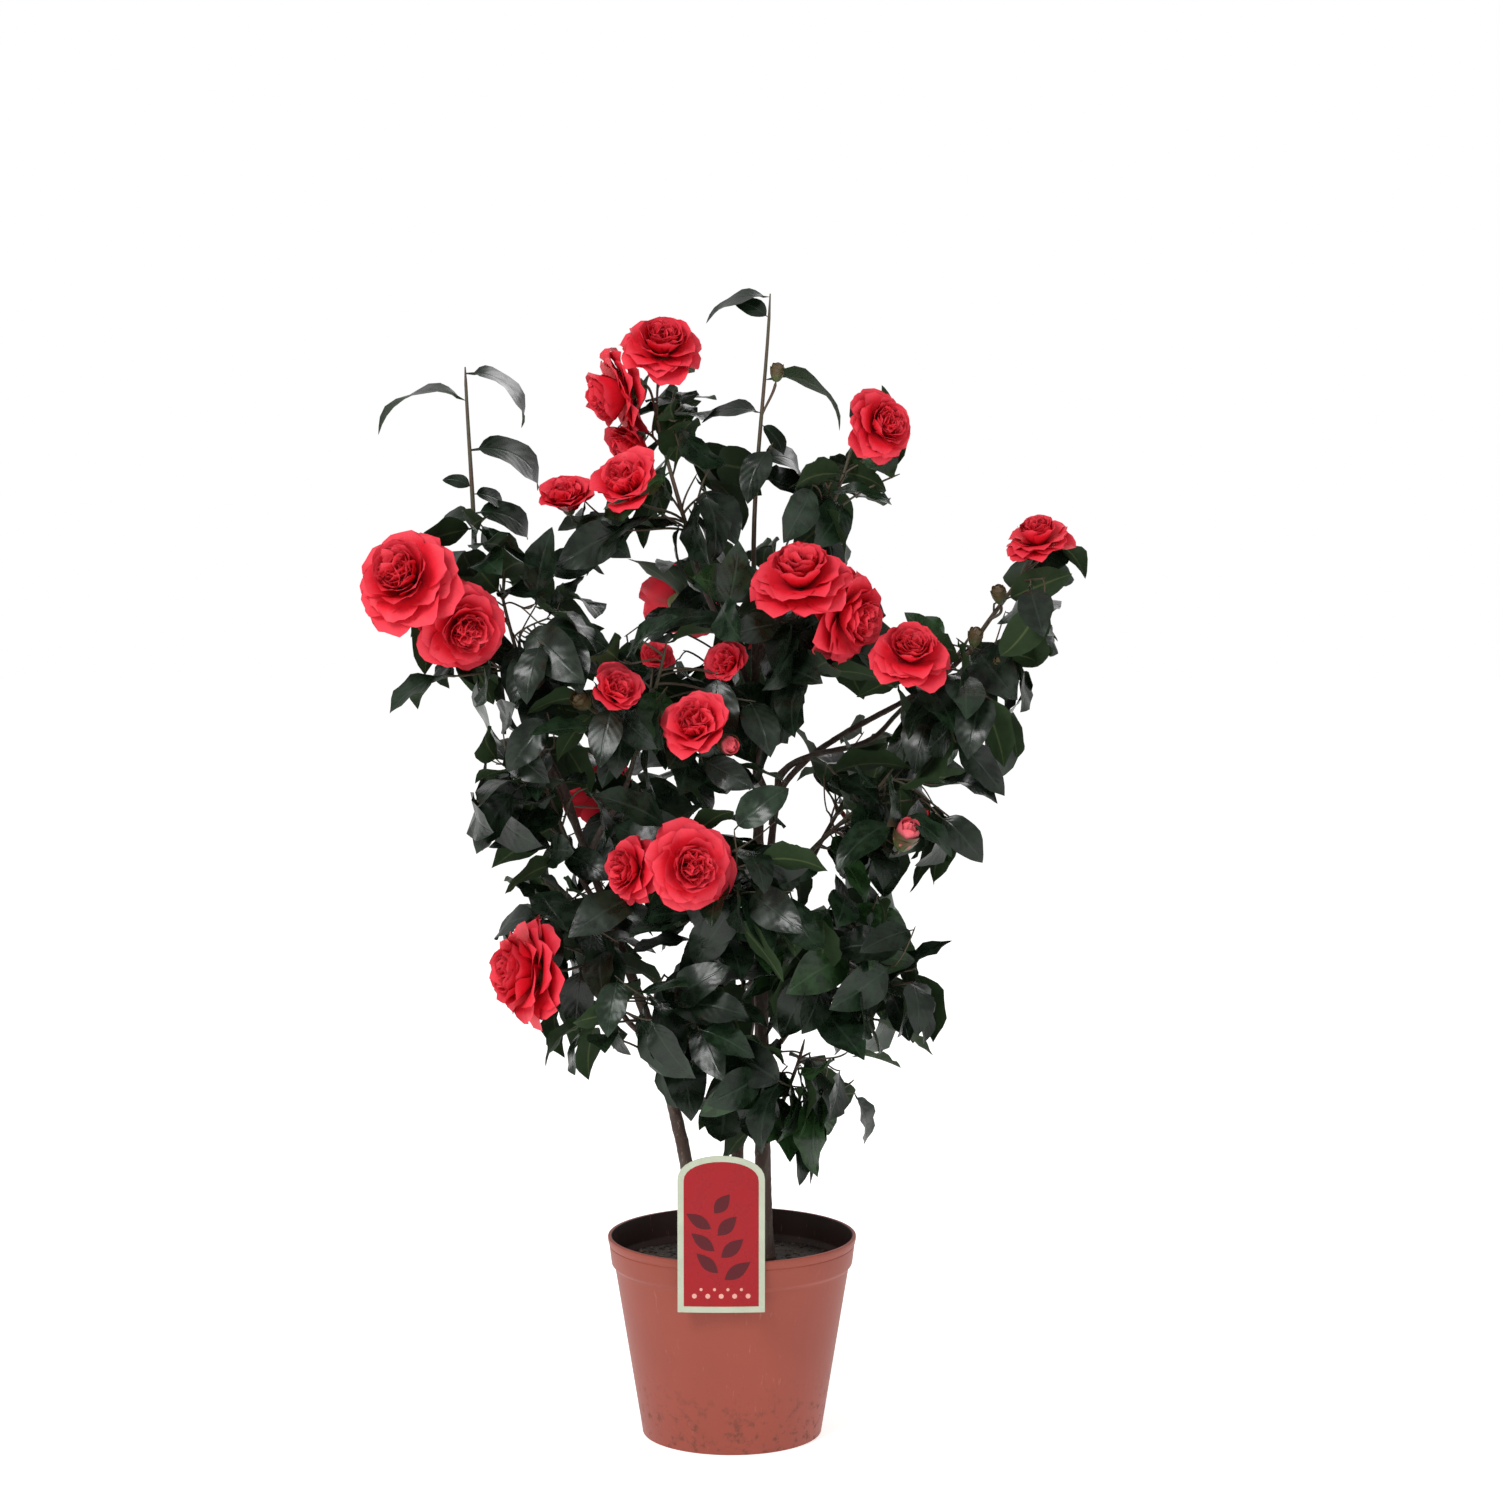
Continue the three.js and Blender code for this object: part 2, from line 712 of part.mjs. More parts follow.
// The pot: a tapering wall with a stepped band under its lip, and drainage holes through its floor
function potSolid() {
  const { height, footRadius, rimRadius, wall, floor, bandStep, lip } = pot;
  const shell = turnedSolid([
    [0, 0],
    [footRadius, 0],
    [shoulder, bandFoot],
    [shoulder + bandStep, bandFoot + bandStep],
    [rimRadius, height - lip],
    [rimRadius, height],
    [rimRadius - lip, height],
    [shoulder + bandStep - wall, bandFoot + bandStep + wall],
    [shoulder - wall, bandFoot],
    [footRadius - wall, floor],
    [0, floor],
  ]);
  const drills = Array.from({ length: pot.holes }, (_, i) => {
    const turn = (2 * Math.PI * (i + 0.5)) / pot.holes;
    const drill = new THREE.CylinderGeometry(pot.holeRadius, pot.holeRadius, 4 * floor, 6);
    drill.rotateX(Math.PI / 2).translate(pot.holeCircle * Math.cos(turn), pot.holeCircle * Math.sin(turn), 0);
    return solidOf(drill);
  });
  return shell.subtract(wasm.Manifold.union(drills));
}

// The soil fills the pot, clear of its wall
function soilSolid() {
  const wide = shoulder - pot.wall - gap;
  return turnedSolid([
    [0, pot.floor + gap],
    [pot.footRadius - pot.wall - gap, pot.floor + gap],
    [wide, bandFoot],
    [wide, soil.top - 1],
    [wide - soil.bevel, soil.top],
    [0, soil.top],
  ]);
}

// The label: an arched card in front of the rim, hung on it by a tongue that goes down inside
function labelSolid() {
  const { width, height, top, thickness, tongueWidth, tongueDrop, x } = label;
  const front = -pot.rimRadius - gap - thickness;
  const inside = (pot.rimRadius - pot.lip - pot.wall) * Math.cos(Math.PI / pot.sides);
  const back = gap + thickness - Math.sqrt(inside ** 2 - (tongueWidth / 2 - x) ** 2);
  const onRim = pot.height + gap;
  const arch = height - label.shoulder;
  const pull = height + label.shoulder / 3; // so that the arch peaks at the full height
  const outline = new THREE.Shape();
  outline.moveTo(-width / 2, 0);
  outline.lineTo(width / 2, 0);
  outline.lineTo(width / 2, arch);
  outline.bezierCurveTo(width / 2, pull, -width / 2, pull, -width / 2, arch);
  outline.closePath();
  const flat = { depth: thickness, bevelEnabled: false, curveSegments: 12 };
  const card = new THREE.ExtrudeGeometry(outline, flat);
  card.rotateX(Math.PI / 2).translate(x, front + thickness, top - height);
  const bridge = new THREE.BoxGeometry(tongueWidth, back - front, thickness);
  bridge.translate(x, (front + back) / 2, onRim + thickness / 2);
  const tongue = new THREE.BoxGeometry(tongueWidth, thickness, tongueDrop);
  tongue.translate(x, back - thickness / 2, onRim + thickness - tongueDrop / 2);
  return wasm.Manifold.union([card, bridge, tongue].map(solidOf));
}

// The assembly
const finish = {
  terracotta: new THREE.MeshStandardMaterial({ color: 0x9c4a36, roughness: 0.6 }),
  soil: new THREE.MeshStandardMaterial({ color: 0x1d1512, roughness: 1 }),
  bark: new THREE.MeshStandardMaterial({ color: 0x4a3a30, roughness: 0.9 }),
  foliage: new THREE.MeshStandardMaterial({ color: 0x1c3324, roughness: 0.35 }),
  card: new THREE.MeshStandardMaterial({ color: 0xb01f2a, roughness: 0.4 }),
};

function meshOf(name, solid, material) {
  const { numProp, vertProperties, triVerts } = solid.getMesh();
  const geometry = new THREE.BufferGeometry();
  const places = new THREE.BufferAttribute(new Float32Array(vertProperties), numProp);
  geometry.setAttribute("position", places).setIndex(new THREE.BufferAttribute(triVerts, 1));
  geometry.computeVertexNormals();
  const mesh = new THREE.Mesh(geometry, material);
  mesh.name = name;
  return mesh;
}

const container = new THREE.Group();
container.add(meshOf("pot", potSolid(), finish.terracotta));
container.add(meshOf("soil", soilSolid(), finish.soil));
container.add(meshOf("label", labelSolid(), finish.card));

const wood = new THREE.Group();
const stemSolid = ({ curve, radii }, grown) => limbSolid(curve, radii, stemSides, stemSteps, grown);
for (const [name, stem] of grownStems) wood.add(meshOf(name, stemSolid(stem), finish.bark));

const crown = new THREE.Group();
for (const grown of growing) {
  const { mass, bough } = grown;
  if (bough) {
    const limb = limbSolid(bough, (t) => taper(boughRadius, t), 4, 3);
    const clear = limb.subtract(stemSolid(grownStems.get(mass.stem), gap));
    wood.add(meshOf(`${mass.name}_bough`, clear, finish.bark));
  }
  crown.add(meshOf(mass.name, massSolid(grown), finish.foliage));
}

const shrub = new THREE.Group();
shrub.name = "camellia_shrub";
shrub.add(container, wood, crown);

export default shrub;
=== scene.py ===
"""Camellia shrub in its nursery pot: fine growth and finishes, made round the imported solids."""

import json
import math
from dataclasses import dataclass
from functools import lru_cache
from itertools import product
from typing import NamedTuple

import bmesh
import bpy
import numpy as np
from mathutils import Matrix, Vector, noise

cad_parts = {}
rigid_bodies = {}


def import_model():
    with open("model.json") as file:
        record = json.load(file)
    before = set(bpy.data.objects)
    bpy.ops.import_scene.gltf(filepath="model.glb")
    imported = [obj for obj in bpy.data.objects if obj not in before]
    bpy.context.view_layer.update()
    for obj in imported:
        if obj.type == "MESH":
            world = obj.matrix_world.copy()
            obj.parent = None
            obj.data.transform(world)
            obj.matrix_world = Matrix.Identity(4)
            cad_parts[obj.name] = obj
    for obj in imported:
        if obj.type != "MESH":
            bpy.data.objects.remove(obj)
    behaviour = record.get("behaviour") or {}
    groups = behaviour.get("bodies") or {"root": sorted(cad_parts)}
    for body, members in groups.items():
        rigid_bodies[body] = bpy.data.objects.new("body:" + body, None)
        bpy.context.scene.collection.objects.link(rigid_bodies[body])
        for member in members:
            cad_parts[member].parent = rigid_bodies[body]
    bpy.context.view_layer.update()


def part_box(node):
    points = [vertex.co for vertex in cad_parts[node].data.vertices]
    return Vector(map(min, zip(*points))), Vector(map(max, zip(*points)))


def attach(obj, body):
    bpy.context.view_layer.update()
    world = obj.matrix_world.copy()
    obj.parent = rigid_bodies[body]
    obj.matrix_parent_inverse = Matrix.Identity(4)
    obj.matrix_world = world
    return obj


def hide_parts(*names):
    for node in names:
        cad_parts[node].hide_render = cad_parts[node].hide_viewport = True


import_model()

bl_info = {
    "name": "Camellia Shrub",
    "version": (1, 0, 0),
    "blender": (4, 5, 0),
    "location": "3D View > Sidebar > Shrub",
    "description": "Grows a camellia in bloom and its pot round their plain solids",
    "category": "Add Mesh",
}

# The growth is worked out in millimetres, and meshes are made in metres
MM = 0.001
GAP = 0.3
SOIL_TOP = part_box("soil")[1].z / MM


# What grows, as the solids have it


class Stem(NamedTuple):
    """A stem's foot on the soil, its tip, and its radius at each."""

    foot: tuple
    tip: tuple
    radius: tuple


class Bloom(NamedTuple):
    """Its place, the way it faces as a turn to the viewer's right and a rise, its width and form."""

    at: tuple
    turn: float
    rise: float
    across: float
    form: str


class Shoot(NamedTuple):
    """An upright shoot's top, and its leaves: the turn of each in degrees, how far it is below the top, its
    share of the longest leaf, how far its face turns to the viewer, and how far it opens from the shoot."""

    top: tuple
    leaves: tuple


class Mass(NamedTuple):
    """A mass of foliage: how far up its stem its bough leaves, its space, side twigs, seed, blooms and share
    of fresh leaves, then where its bough ends if not by the rule, its upright shoot, and how many finer twigs
    a twig has. `sprays` are the tips of further twigs, where the crown is at its fullest."""

    stem: str
    at: float
    centre: tuple
    reach: tuple
    twigs: int
    seed: int
    blooms: tuple = ()
    fresh: float = 0.08
    foot: tuple = None
    shoot: Shoot = None
    finer: int = 2
    sprays: tuple = ()


STEMS = {
    "main_stem": Stem((29, 8), (20, 6, 800), (8, 3)),
    "left_stem": Stem((-34, -2), (-150, -6, 590), (7, 3)),
    "back_stem": Stem((2, 36), (44, 110, 600), (6.5, 3)),
}
ON_TIP = None
MASSES = {
    "centre_leader": Mass(
        "main_stem", ON_TIP, (34, 0, 935), (105, 80, 138), 3, 11,
        (Bloom((41, -4, 977), 30, 75, 17, "bud"),),
        shoot=Shoot(
            (35, 0, 1050),
            (
                (182, 3, 0.79, 0.2, 1.4), (200, 22, 0.45, 0.9, 0.9), (3, 78, 1.15, -0.12, 1.1),
                (184, 108, 0.7, 0.3, 1.25), (340, 118, 0.45, 0.6, 2.0), (10, 150, 0.9, 0.8, 1.2),
            ),
        ),
        finer=0,
    ),
    "left_leader": Mass(
        "left_stem", 0.88, (-238, 6, 905), (105, 70, 112), 0, 5,
        foot=(-236, 20, 818),
        shoot=Shoot(
            (-242, 0, 984),
            (
                (178, 31, 1.2, 0.05, 0.9), (2, 6, 1.05, 0.35, 1.45), (355, 76, 1.1, 0.55, 1.35),
                (205, 110, 0.35, 0.8, 0.9), (15, 116, 0.5, 0.9, 1.6), (160, 140, 0.6, 0.8, 1.3),
                (350, 134, 0.85, 0.7, 1.35),
            ),
        ),
        sprays=((-216, -14, 856), (-228, -30, 846)),
    ),
    "left_crown": Mass(
        "left_stem", 1, (-210, -20, 740), (145, 105, 105), 7, 21,
        (
            Bloom((-289, -95, 796), -22, 25, 102, "open"),
            Bloom((-238, -78, 750), 25, -12, 90, "open"),
        ),
        sprays=(
            (-205, -30, 822), (-226, -36, 806), (-172, -20, 806), (-218, -40, 786), (-262, -40, 706),
            (-236, 0, 812), (-206, 12, 814),
        ),
    ),
    "upper_left": Mass(
        "main_stem", 0.8, (-72, 0, 902), (120, 100, 124), 7, 31,
        (
            Bloom((-62, -40, 1002), 10, 48, 82, "open"),
            Bloom((-104, -5, 960), -78, -18, 94, "open"),
            Bloom((-93, -70, 880), -25, 40, 66, "cup"),
            Bloom((-92, 8, 914), -50, -35, 54, "cup"),
            Bloom((-149, -20, 866), -15, 60, 54, "cup"),
        ),
        sprays=((-100, -35, 838), (-62, -40, 852), (-18, -40, 878), (-52, -45, 962), (-40, -30, 938)),
    ),
    "upper_right": Mass(
        "main_stem", 0.86, (112, 10, 880), (98, 90, 92), 6, 41,
        (Bloom((135, -40, 931), 38, 12, 74, "open"),),
    ),
    "centre_crown": Mass(
        "main_stem", 0.72, (62, -30, 752), (112, 105, 104), 7, 51,
        (
            Bloom((61, -90, 797), -8, 55, 96, "open"),
            Bloom((106, -72, 760), 55, -8, 92, "open"),
        ),
        sprays=((74, -70, 712), (104, -60, 706), (20, -50, 720)),
    ),
    "right_crown": Mass(
        "back_stem", 1, (218, -10, 694), (125, 110, 106), 8, 61,
        (
            Bloom((159, -90, 729), 5, 45, 78, "open"),
            Bloom((220, -30, 738), 20, 70, 18, "bud"),
            Bloom((241, -30, 712), 40, 40, 20, "bud"),
        ),
        fresh=0.15,
        sprays=((288, -20, 692), (205, -60, 640)),
    ),
    "right_leader": Mass(
        "back_stem", 0.96, (283, 0, 784), (88, 85, 100), 3, 71,
        (
            Bloom((277, -20, 830), -25, 62, 66, "open"),
            Bloom((243, -20, 776), -30, 65, 18, "bud"),
        ),
        fresh=0.3,
    ),
    "heart": Mass(
        "left_stem", 0.86, (-58, -60, 690), (122, 98, 104), 7, 81,
        (
            Bloom((-101, -100, 696), 20, 35, 50, "cup"),
            Bloom((-69, -40, 722), 10, 40, 34, "cup"),
            Bloom((-4, -70, 719), -30, 20, 42, "cup"),
            Bloom((-30, -120, 668), -20, 30, 64, "cup"),
            Bloom((-5, -110, 650), 30, -10, 24, "bud"),
            Bloom((-132, -80, 684), -30, 30, 22, "bud"),
        ),
        sprays=((-140, -60, 770), (28, -90, 708), (30, -70, 684), (2, -90, 630)),
    ),
    "left_flank": Mass(
        "left_stem", 0.7, (-184, -22, 606), (110, 100, 98), 7, 91,
        sprays=((-178, -50, 548), (-158, -60, 536)),
    ),
    "right_flank": Mass(
        "main_stem", 0.55, (148, -10, 580), (116, 100, 90), 6, 101,
        (Bloom((155, -80, 562), 25, 50, 32, "bud"),),
        fresh=0.25,
        sprays=((90, -30, 548), (122, -50, 543), (156, -30, 546), (225, -20, 560), (78, -40, 636)),
    ),
    "lower_left": Mass(
        "left_stem", 0.45, (-158, -30, 462), (95, 98, 112), 7, 111,
        (Bloom((-184, -85, 444), -66, 5, 106, "open"),),
        sprays=((-182, -20, 528), (-150, -30, 512), (-205, -60, 400)),
    ),
    "lower_front": Mass(
        "main_stem", 0.38, (-34, -100, 522), (118, 95, 104), 8, 121,
        (
            Bloom((-34, -148, 545), 12, 5, 84, "open"),
            Bloom((-89, -128, 540), -50, 8, 66, "open"),
        ),
        sprays=((-80, -100, 472), (-40, -100, 468), (-120, -70, 440)),
    ),
    "lower_right": Mass(
        "main_stem", 0.3, (124, -20, 424), (124, 105, 104), 7, 131,
        fresh=0.45,
        sprays=(
            (188, -30, 388), (165, -40, 362), (76, -50, 410), (112, -60, 416), (98, -45, 522), (84, -60, 512),
            (136, -45, 518),
        ),
    ),
    "left_skirt": Mass(
        "left_stem", 0.3, (-70, -60, 392), (114, 95, 92), 7, 141,
        sprays=((-166, -60, 412), (-150, -60, 392), (-60, -80, 440)),
    ),
    "right_skirt": Mass(
        "main_stem", 0.17, (66, -60, 334), (100, 90, 96), 7, 151,
        fresh=0.2,
        sprays=((114, -50, 345), (84, -60, 372)),
    ),
    "back_crown": Mass(
        "back_stem", 0.9, (-15, 150, 730), (125, 95, 105), 6, 161,
        (
            Bloom((-50, 205, 770), 165, 30, 88, "open"),
            Bloom((40, 212, 735), 200, 10, 76, "open"),
        ),
    ),
    "back_left": Mass(
        "back_stem", 0.62, (-105, 130, 560), (105, 90, 100), 6, 171,
        (Bloom((-140, 190, 590), 210, 25, 84, "open"),),
    ),
    "back_right": Mass(
        "back_stem", 0.7, (130, 145, 580), (108, 90, 100), 6, 181,
        (Bloom((160, 208, 560), 155, 20, 84, "open"),),
    ),
    "back_skirt": Mass("back_stem", 0.35, (10, 120, 420), (115, 90, 84), 6, 191),
}

# Gaps in the crown, where the sky shows from the front: the middle of each and half its size, across and up,
# on the upright plane through the middle of the pot, as the camera sees it
CLEARINGS = (
    (-152, 955, 30, 78), (-3, 999, 24, 36), (80, 1019, 36, 42), (60, 926, 32, 28), (1, 928, 20, 12),
    (142, 826, 36, 28), (199, 880, 46, 100), (190, 808, 48, 50), (332, 735, 28, 40), (330, 880, 50, 45),
    (-95, 772, 14, 36), (-192, 758, 18, 15), (-182, 856, 18, 22), (-38, 724, 20, 10), (84, 661, 20, 22),
    (72, 578, 27, 25), (134, 667, 14, 16), (81, 500, 8, 12), (231, 493, 46, 36), (-283, 592, 46, 80),
    (-253, 512, 40, 22), (-212, 338, 38, 36), (-130, 285, 58, 36), (-61, 440, 14, 8), (-145, 576, 11, 22),
    (76, 360, 12, 9), (177, 297, 36, 52), (104, 262, 15, 26), (238, 398, 42, 86), (24, 966, 26, 34),
    (-256, 660, 20, 30), (-100, 326, 32, 24), (136, 328, 20, 18), (178, 486, 20, 22), (-43, 882, 12, 20),
    (34, 843, 11, 14), (-66, 822, 10, 14), (222, 764, 14, 16), (204, 588, 24, 8), (286, 652, 18, 30),
    (320, 752, 22, 32), (-242, 482, 26, 30), (-240, 398, 26, 34),
)
EYE = np.array((16.7, -3000.0, 875.0))
SIGHT_LINE = 110  # how far in front of a bloom no leaf grows
FRONT = 100  # blooms further back than this aren't seen from the front

# The rule of growth, as the solids have it, with room for smaller leaves and finer twigs
GOLDEN_ANGLE = math.radians(137.5)
TRIES = 8
SPACE_FULLNESS = 2.6
SPACE_SLACK = 1.25
BOUGH_ENDS = 0.86
TWIG_ENDS = (0.5, 0.62)
FORKS = (0.12, 0.92)
SHORTEST_TWIG = 30
STEM_LEAN = 1.15
BOUGH_CLING, BOUGH_LIFT = 0.9, 0.6
SPINE = {"top": 0.45, "lift": 0.5, "leaves": 6, "spacing": 19}
TWIG_SHARE = 0.55  # of the spine's radius, where a twig leaves it
TWIG_TIP = 0.9
TWIG_PAST_LEAF = 0.06
BLOOM_TWIG = {
    "behind": 20, "below": 25, "turns": 0.6, "tip": 1.5, "begin": 0.7, "leaves": 4, "bud_leaves": 1,
    "spacing": 15,
}
SIDE_TWIG = {
    "low": -0.25, "climb": 1.05, "play": 0.35, "swing": 0.7, "step": 0.8, "clear_from": 0.25,
    "leaves": 5, "spacing": 17,
}
SPRAY = {"below": 20, "foot": 1.3, "leaves": 6, "spacing": 15}
FINER = {
    "lengths": (34, 62), "forks": (0.3, 0.92), "opens": 0.65, "more": 0.4, "step": 0.9, "shrink": 0.05,
    "clear_from": 0.3, "thickest": 1.1, "share": 0.8, "tip": 0.7, "leaves": 4, "spacing": 14,
}
LEAF = {
    "stalk": 0.012, "hangs": 0.25, "leans": 0.6, "rolls": 2.4, "lowest": 0.08, "mid_from": 0.68,
    "clear_from": 0.2,
}
OWN_GAP = 1
OTHER_GAP = 4
SOLID_GAPS = (1.5, 6)
TAKING = {"limb": 3, "spine": 2, "twig": 1.5, "leaf": 2.2}
CELL = 16
STEM_FLARE = (0.55, 26)
BOUGH_FLARE = (1.4, 7)
SPINE_RADIUS = (2.4, 1.4)
BOUGH_RADIUS = (3.2, 2.3)
BLOOM_BACK = {"open": -0.5, "cup": -0.6, "bud": -0.8}
ARCHES = (0.35, 0.65, 0.95, 1.25, 2.0)
BOX_SLACK = (8, 8, 20)
FOLD_SHARE = 0.1
TIP_SHARE = 0.45
OPENINGS = {"tip": 0.5, "side": 0.9, "more": 0.4}
LEAF_LOOKS = 4  # ways that the edge waves and the blade twists, for each arch
UP = np.array((0.0, 0.0, 1.0))
SPACE_LOWS, SPACE_HIGHS = np.array([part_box(name) for name in MASSES]).swapaxes(0, 1) / MM
SPACE_LOWS -= BOX_SLACK
SPACE_HIGHS += BOX_SLACK


# Sizes and colours that a user would change


def length_of(name, description, default, **more):
    return bpy.props.FloatProperty(name=name, description=description, default=default, unit="LENGTH", **more)


def colour_of(name, description, *default):
    return bpy.props.FloatVectorProperty(
        name=name, description=description, default=default, size=3, min=0, max=1, subtype="COLOR",
    )


class FoliageSettings(bpy.types.PropertyGroup):
    """Leaves and twigs."""

    shortest: length_of("Shortest Leaf", "Length of the smallest leaf, with its stalk", 0.056, min=0.02)
    longest: length_of("Longest Leaf", "Length of the largest leaf, with its stalk", 0.086, min=0.02)
    width_share: bpy.props.FloatProperty(
        name="Width", description="Width of a leaf as a share of its length",
        default=0.5, min=0.1, max=1, subtype="FACTOR",
    )
    deep: colour_of("Deep Green", "Colour of most leaves", 0.0072, 0.0148, 0.0076)
    mid: colour_of("Mid Green", "Colour of some sprays", 0.0110, 0.0255, 0.0115)
    fresh: colour_of("Fresh Green", "Colour of the younger sprays", 0.018, 0.050, 0.014)
    underside: colour_of("Underside", "Colour of the backs of the leaves", 0.024, 0.044, 0.017)


class BloomSettings(bpy.types.PropertyGroup):
    """Blooms and buds."""

    petals: bpy.props.IntProperty(
        name="Petals", description="Petals of an open double bloom", default=58, min=12, max=90,
    )
    coral: colour_of("Coral", "Colour of the outer petals", 0.78, 0.016, 0.036)
    heart: colour_of("Heart", "Colour of the inner petals", 0.68, 0.008, 0.020)
    blush: colour_of("Blush", "Colour of the pale petals on buds", 0.80, 0.16, 0.19)
    scale: colour_of("Bud Scales", "Colour of the scales round a bud", 0.085, 0.105, 0.036)


class WoodSettings(bpy.types.PropertyGroup):
    """Stems, boughs and twigs."""

    relief: length_of("Bark Relief", "Depth of the ridges of the bark", 0.00045, min=0, precision=5)
    bark: colour_of("Bark", "Colour of the stems and boughs", 0.080, 0.044, 0.033)
    twig: colour_of("Twig", "Colour of the young twigs", 0.070, 0.060, 0.032)


class ContainerSettings(bpy.types.PropertyGroup):
    """Pot, soil and label."""

    pot: colour_of("Pot", "Colour of the pot's plastic", 0.30, 0.064, 0.042)
    # Near-black painted shade for the pot's inner wall, standing in for the shadow inside the pot
    inside: colour_of("Pot Inside", "Colour of the pot's dark inner wall", 0.026, 0.009, 0.007)
    soil: colour_of("Soil", "Colour of the potting compost", 0.030, 0.020, 0.014)
    border: colour_of("Label Border", "Colour of the label's card", 0.48, 0.52, 0.40)
    panel: colour_of("Label Panel", "Colour of the label's panel", 0.33, 0.006, 0.011)
    crumbs: bpy.props.IntProperty(
        name="Crumbs", description="Crumbs of compost on the soil", default=520, min=0, max=4000,
    )


# Growth


def unit(v):
    return v / np.linalg.norm(v)


def towards(a, b):
    return unit(b - a)


def taper(ends, share):
    return ends[0] + (ends[1] - ends[0]) * share


def turned(first, second, angle):
    """`first` turned by an angle towards `second`."""
    return first * math.cos(angle) + second * math.sin(angle)


def square_to(axis):
    """Two directions square to `axis`: the first turns to +Z, or to +X on an upright axis."""
    aim = np.array((1.0, 0.0, 0.0)) if abs(axis[2]) > 0.9 else UP
    first = unit(aim - axis * aim.dot(axis))
    return first, np.cross(axis, first)


def facing(turn, rise):
    t, r = math.radians(turn), math.radians(rise)
    return np.array((math.sin(t) * math.cos(r), -math.cos(t) * math.cos(r), math.sin(r)))


def outwards(where):
    """Level, away from the middle of the shrub."""
    return unit(np.array((where[0], where[1], 1e-6)))


def seeded(seed):
    """Random numbers from 0 to 1: the solids' seeds give the same ones."""
    word = 0xFFFFFFFF
    state = seed

    def draw():
        nonlocal state
        state = (state + 0x6D2B79F5) & word
        mixed = ((state ^ (state >> 15)) * (1 | state)) & word
        mixed = (((mixed + (((mixed ^ (mixed >> 7)) * (61 | mixed)) & word)) & word) ^ mixed) & word
        return (mixed ^ (mixed >> 14)) / 2**32

    return draw


def cubic(knots, share):
    """Points on a cubic curve of four knots."""
    t = np.asarray(share, float)[..., None]
    a, b, c, d = knots
    return a * (1 - t) ** 3 + 3 * b * t * (1 - t) ** 2 + 3 * c * t**2 * (1 - t) + d * t**3


class Limb:
    """A cubic curve that leaves `a` along `out` and reaches `b` along `into`."""

    def __init__(self, a, b, out, into):
        handle = np.linalg.norm(b - a) / 3
        self.knots = np.array((a, a + out * handle, b - into * handle, b))

    def at(self, share):
        return cubic(self.knots, share)

    def heading(self, t):
        a, b, c, d = self.knots
        return unit((1 - t) ** 2 * (b - a) + 2 * t * (1 - t) * (c - b) + t * t * (d - c))

    def length(self):
        return np.linalg.norm(np.diff(self.at(np.linspace(0, 1, 60)), axis=0), axis=1).sum()


class Room:
    """What is already grown, as balls in the cells of a grid: leaves and twigs keep clear of them."""

    def __init__(self):
        self.cells = {}
        self.balls = np.empty((400_000, 5))
        self.count = 0
        self.gaps = SOLID_GAPS

    def take(self, centres, radius, owner):
        for centre in np.atleast_2d(centres):
            self.balls[self.count] = (*centre, radius, owner)
            reach = radius + SOLID_GAPS[1]
            low = np.floor((centre - reach) / CELL).astype(int)
            high = np.floor((centre + reach) / CELL).astype(int) + 1
            for key in product(*map(range, low, high)):
                self.cells.setdefault(key, []).append(self.count)
            self.count += 1

    def take_limb(self, limb, radius, owner):
        steps = math.ceil(limb.length() / 5)
        self.take(limb.at(np.linspace(0, 1, steps + 1)), radius, owner)

    def blocked(self, points, owner, own):
        """True if a point is too near something of another owner or, where `own`, of this one."""
        keys = {tuple(key) for key in np.floor(points / CELL).astype(int).tolist()}
        near = sorted({ball for key in keys for ball in self.cells.get(key, ())})
        if not near:
            return False
        balls = self.balls[near]
        same = balls[:, 4] == owner
        clear = balls[:, 3] + np.where(same, *self.gaps)
        apart = ((points[:, None] - balls[None, :, :3]) ** 2).sum(2)
        return bool(((apart < clear**2) & (~same | own[:, None])).any())


@dataclass
class Twig:
    """A limb with its radii and the leaves that it is to bear. It is made as far as `end`, its last leaf."""

    limb: Limb
    radii: tuple
    count: int
    spacing: float
    begin: float = 0.1
    tipped: bool = False
    bearer: tuple = None
    end: float = 0.0

    def bears(self, share):
        self.end = max(self.end, min(1, share + TWIG_PAST_LEAF))


class Grown:
    """A mass as it grows."""

    def __init__(self, name, mass, owner):
        self.name = name
        self.mass = mass
        self.owner = owner
        self.centre = np.array(mass.centre, float)
        self.reach = np.array(mass.reach, float)
        self.draw = seeded(mass.seed)
        self.bough = None
        self.spine = None
        self.twigs = []
        self.leaves = []

    def inside(self, points):
        """True if points are all in this mass's space, and no further out than the solids of the masses."""
        off = np.abs((points - self.centre) / self.reach)
        if (off**SPACE_FULLNESS).sum(1).max() > SPACE_SLACK:
            return False
        spots = points[:, None]
        boxed = (spots > SPACE_LOWS) & (spots < SPACE_HIGHS)
        return bool(boxed.all(2).any(1).all())

    def room_along(self, way):
        return 1 / np.linalg.norm(way / self.reach)


def in_clearing(points):
    """True if a point is in front of or behind a gap in the crown, as the camera sees it."""
    seen = EYE + (points - EYE) * (EYE[1] / (EYE[1] - points[:, 1:2]))
    across, up, half_width, half_height = np.array(CLEARINGS).T
    off = ((seen[:, :1] - across) / half_width) ** 2 + ((seen[:, 2:] - up) / half_height) ** 2
    return bool((off < 1).any())


def grow_stem(stem):
    foot, tip = np.array((*stem.foot, SOIL_TOP + GAP), float), np.array(stem.tip, float)
    out = UP + (towards(foot, tip) - UP) * STEM_LEAN
    return Limb(foot, tip, UP, unit(out))


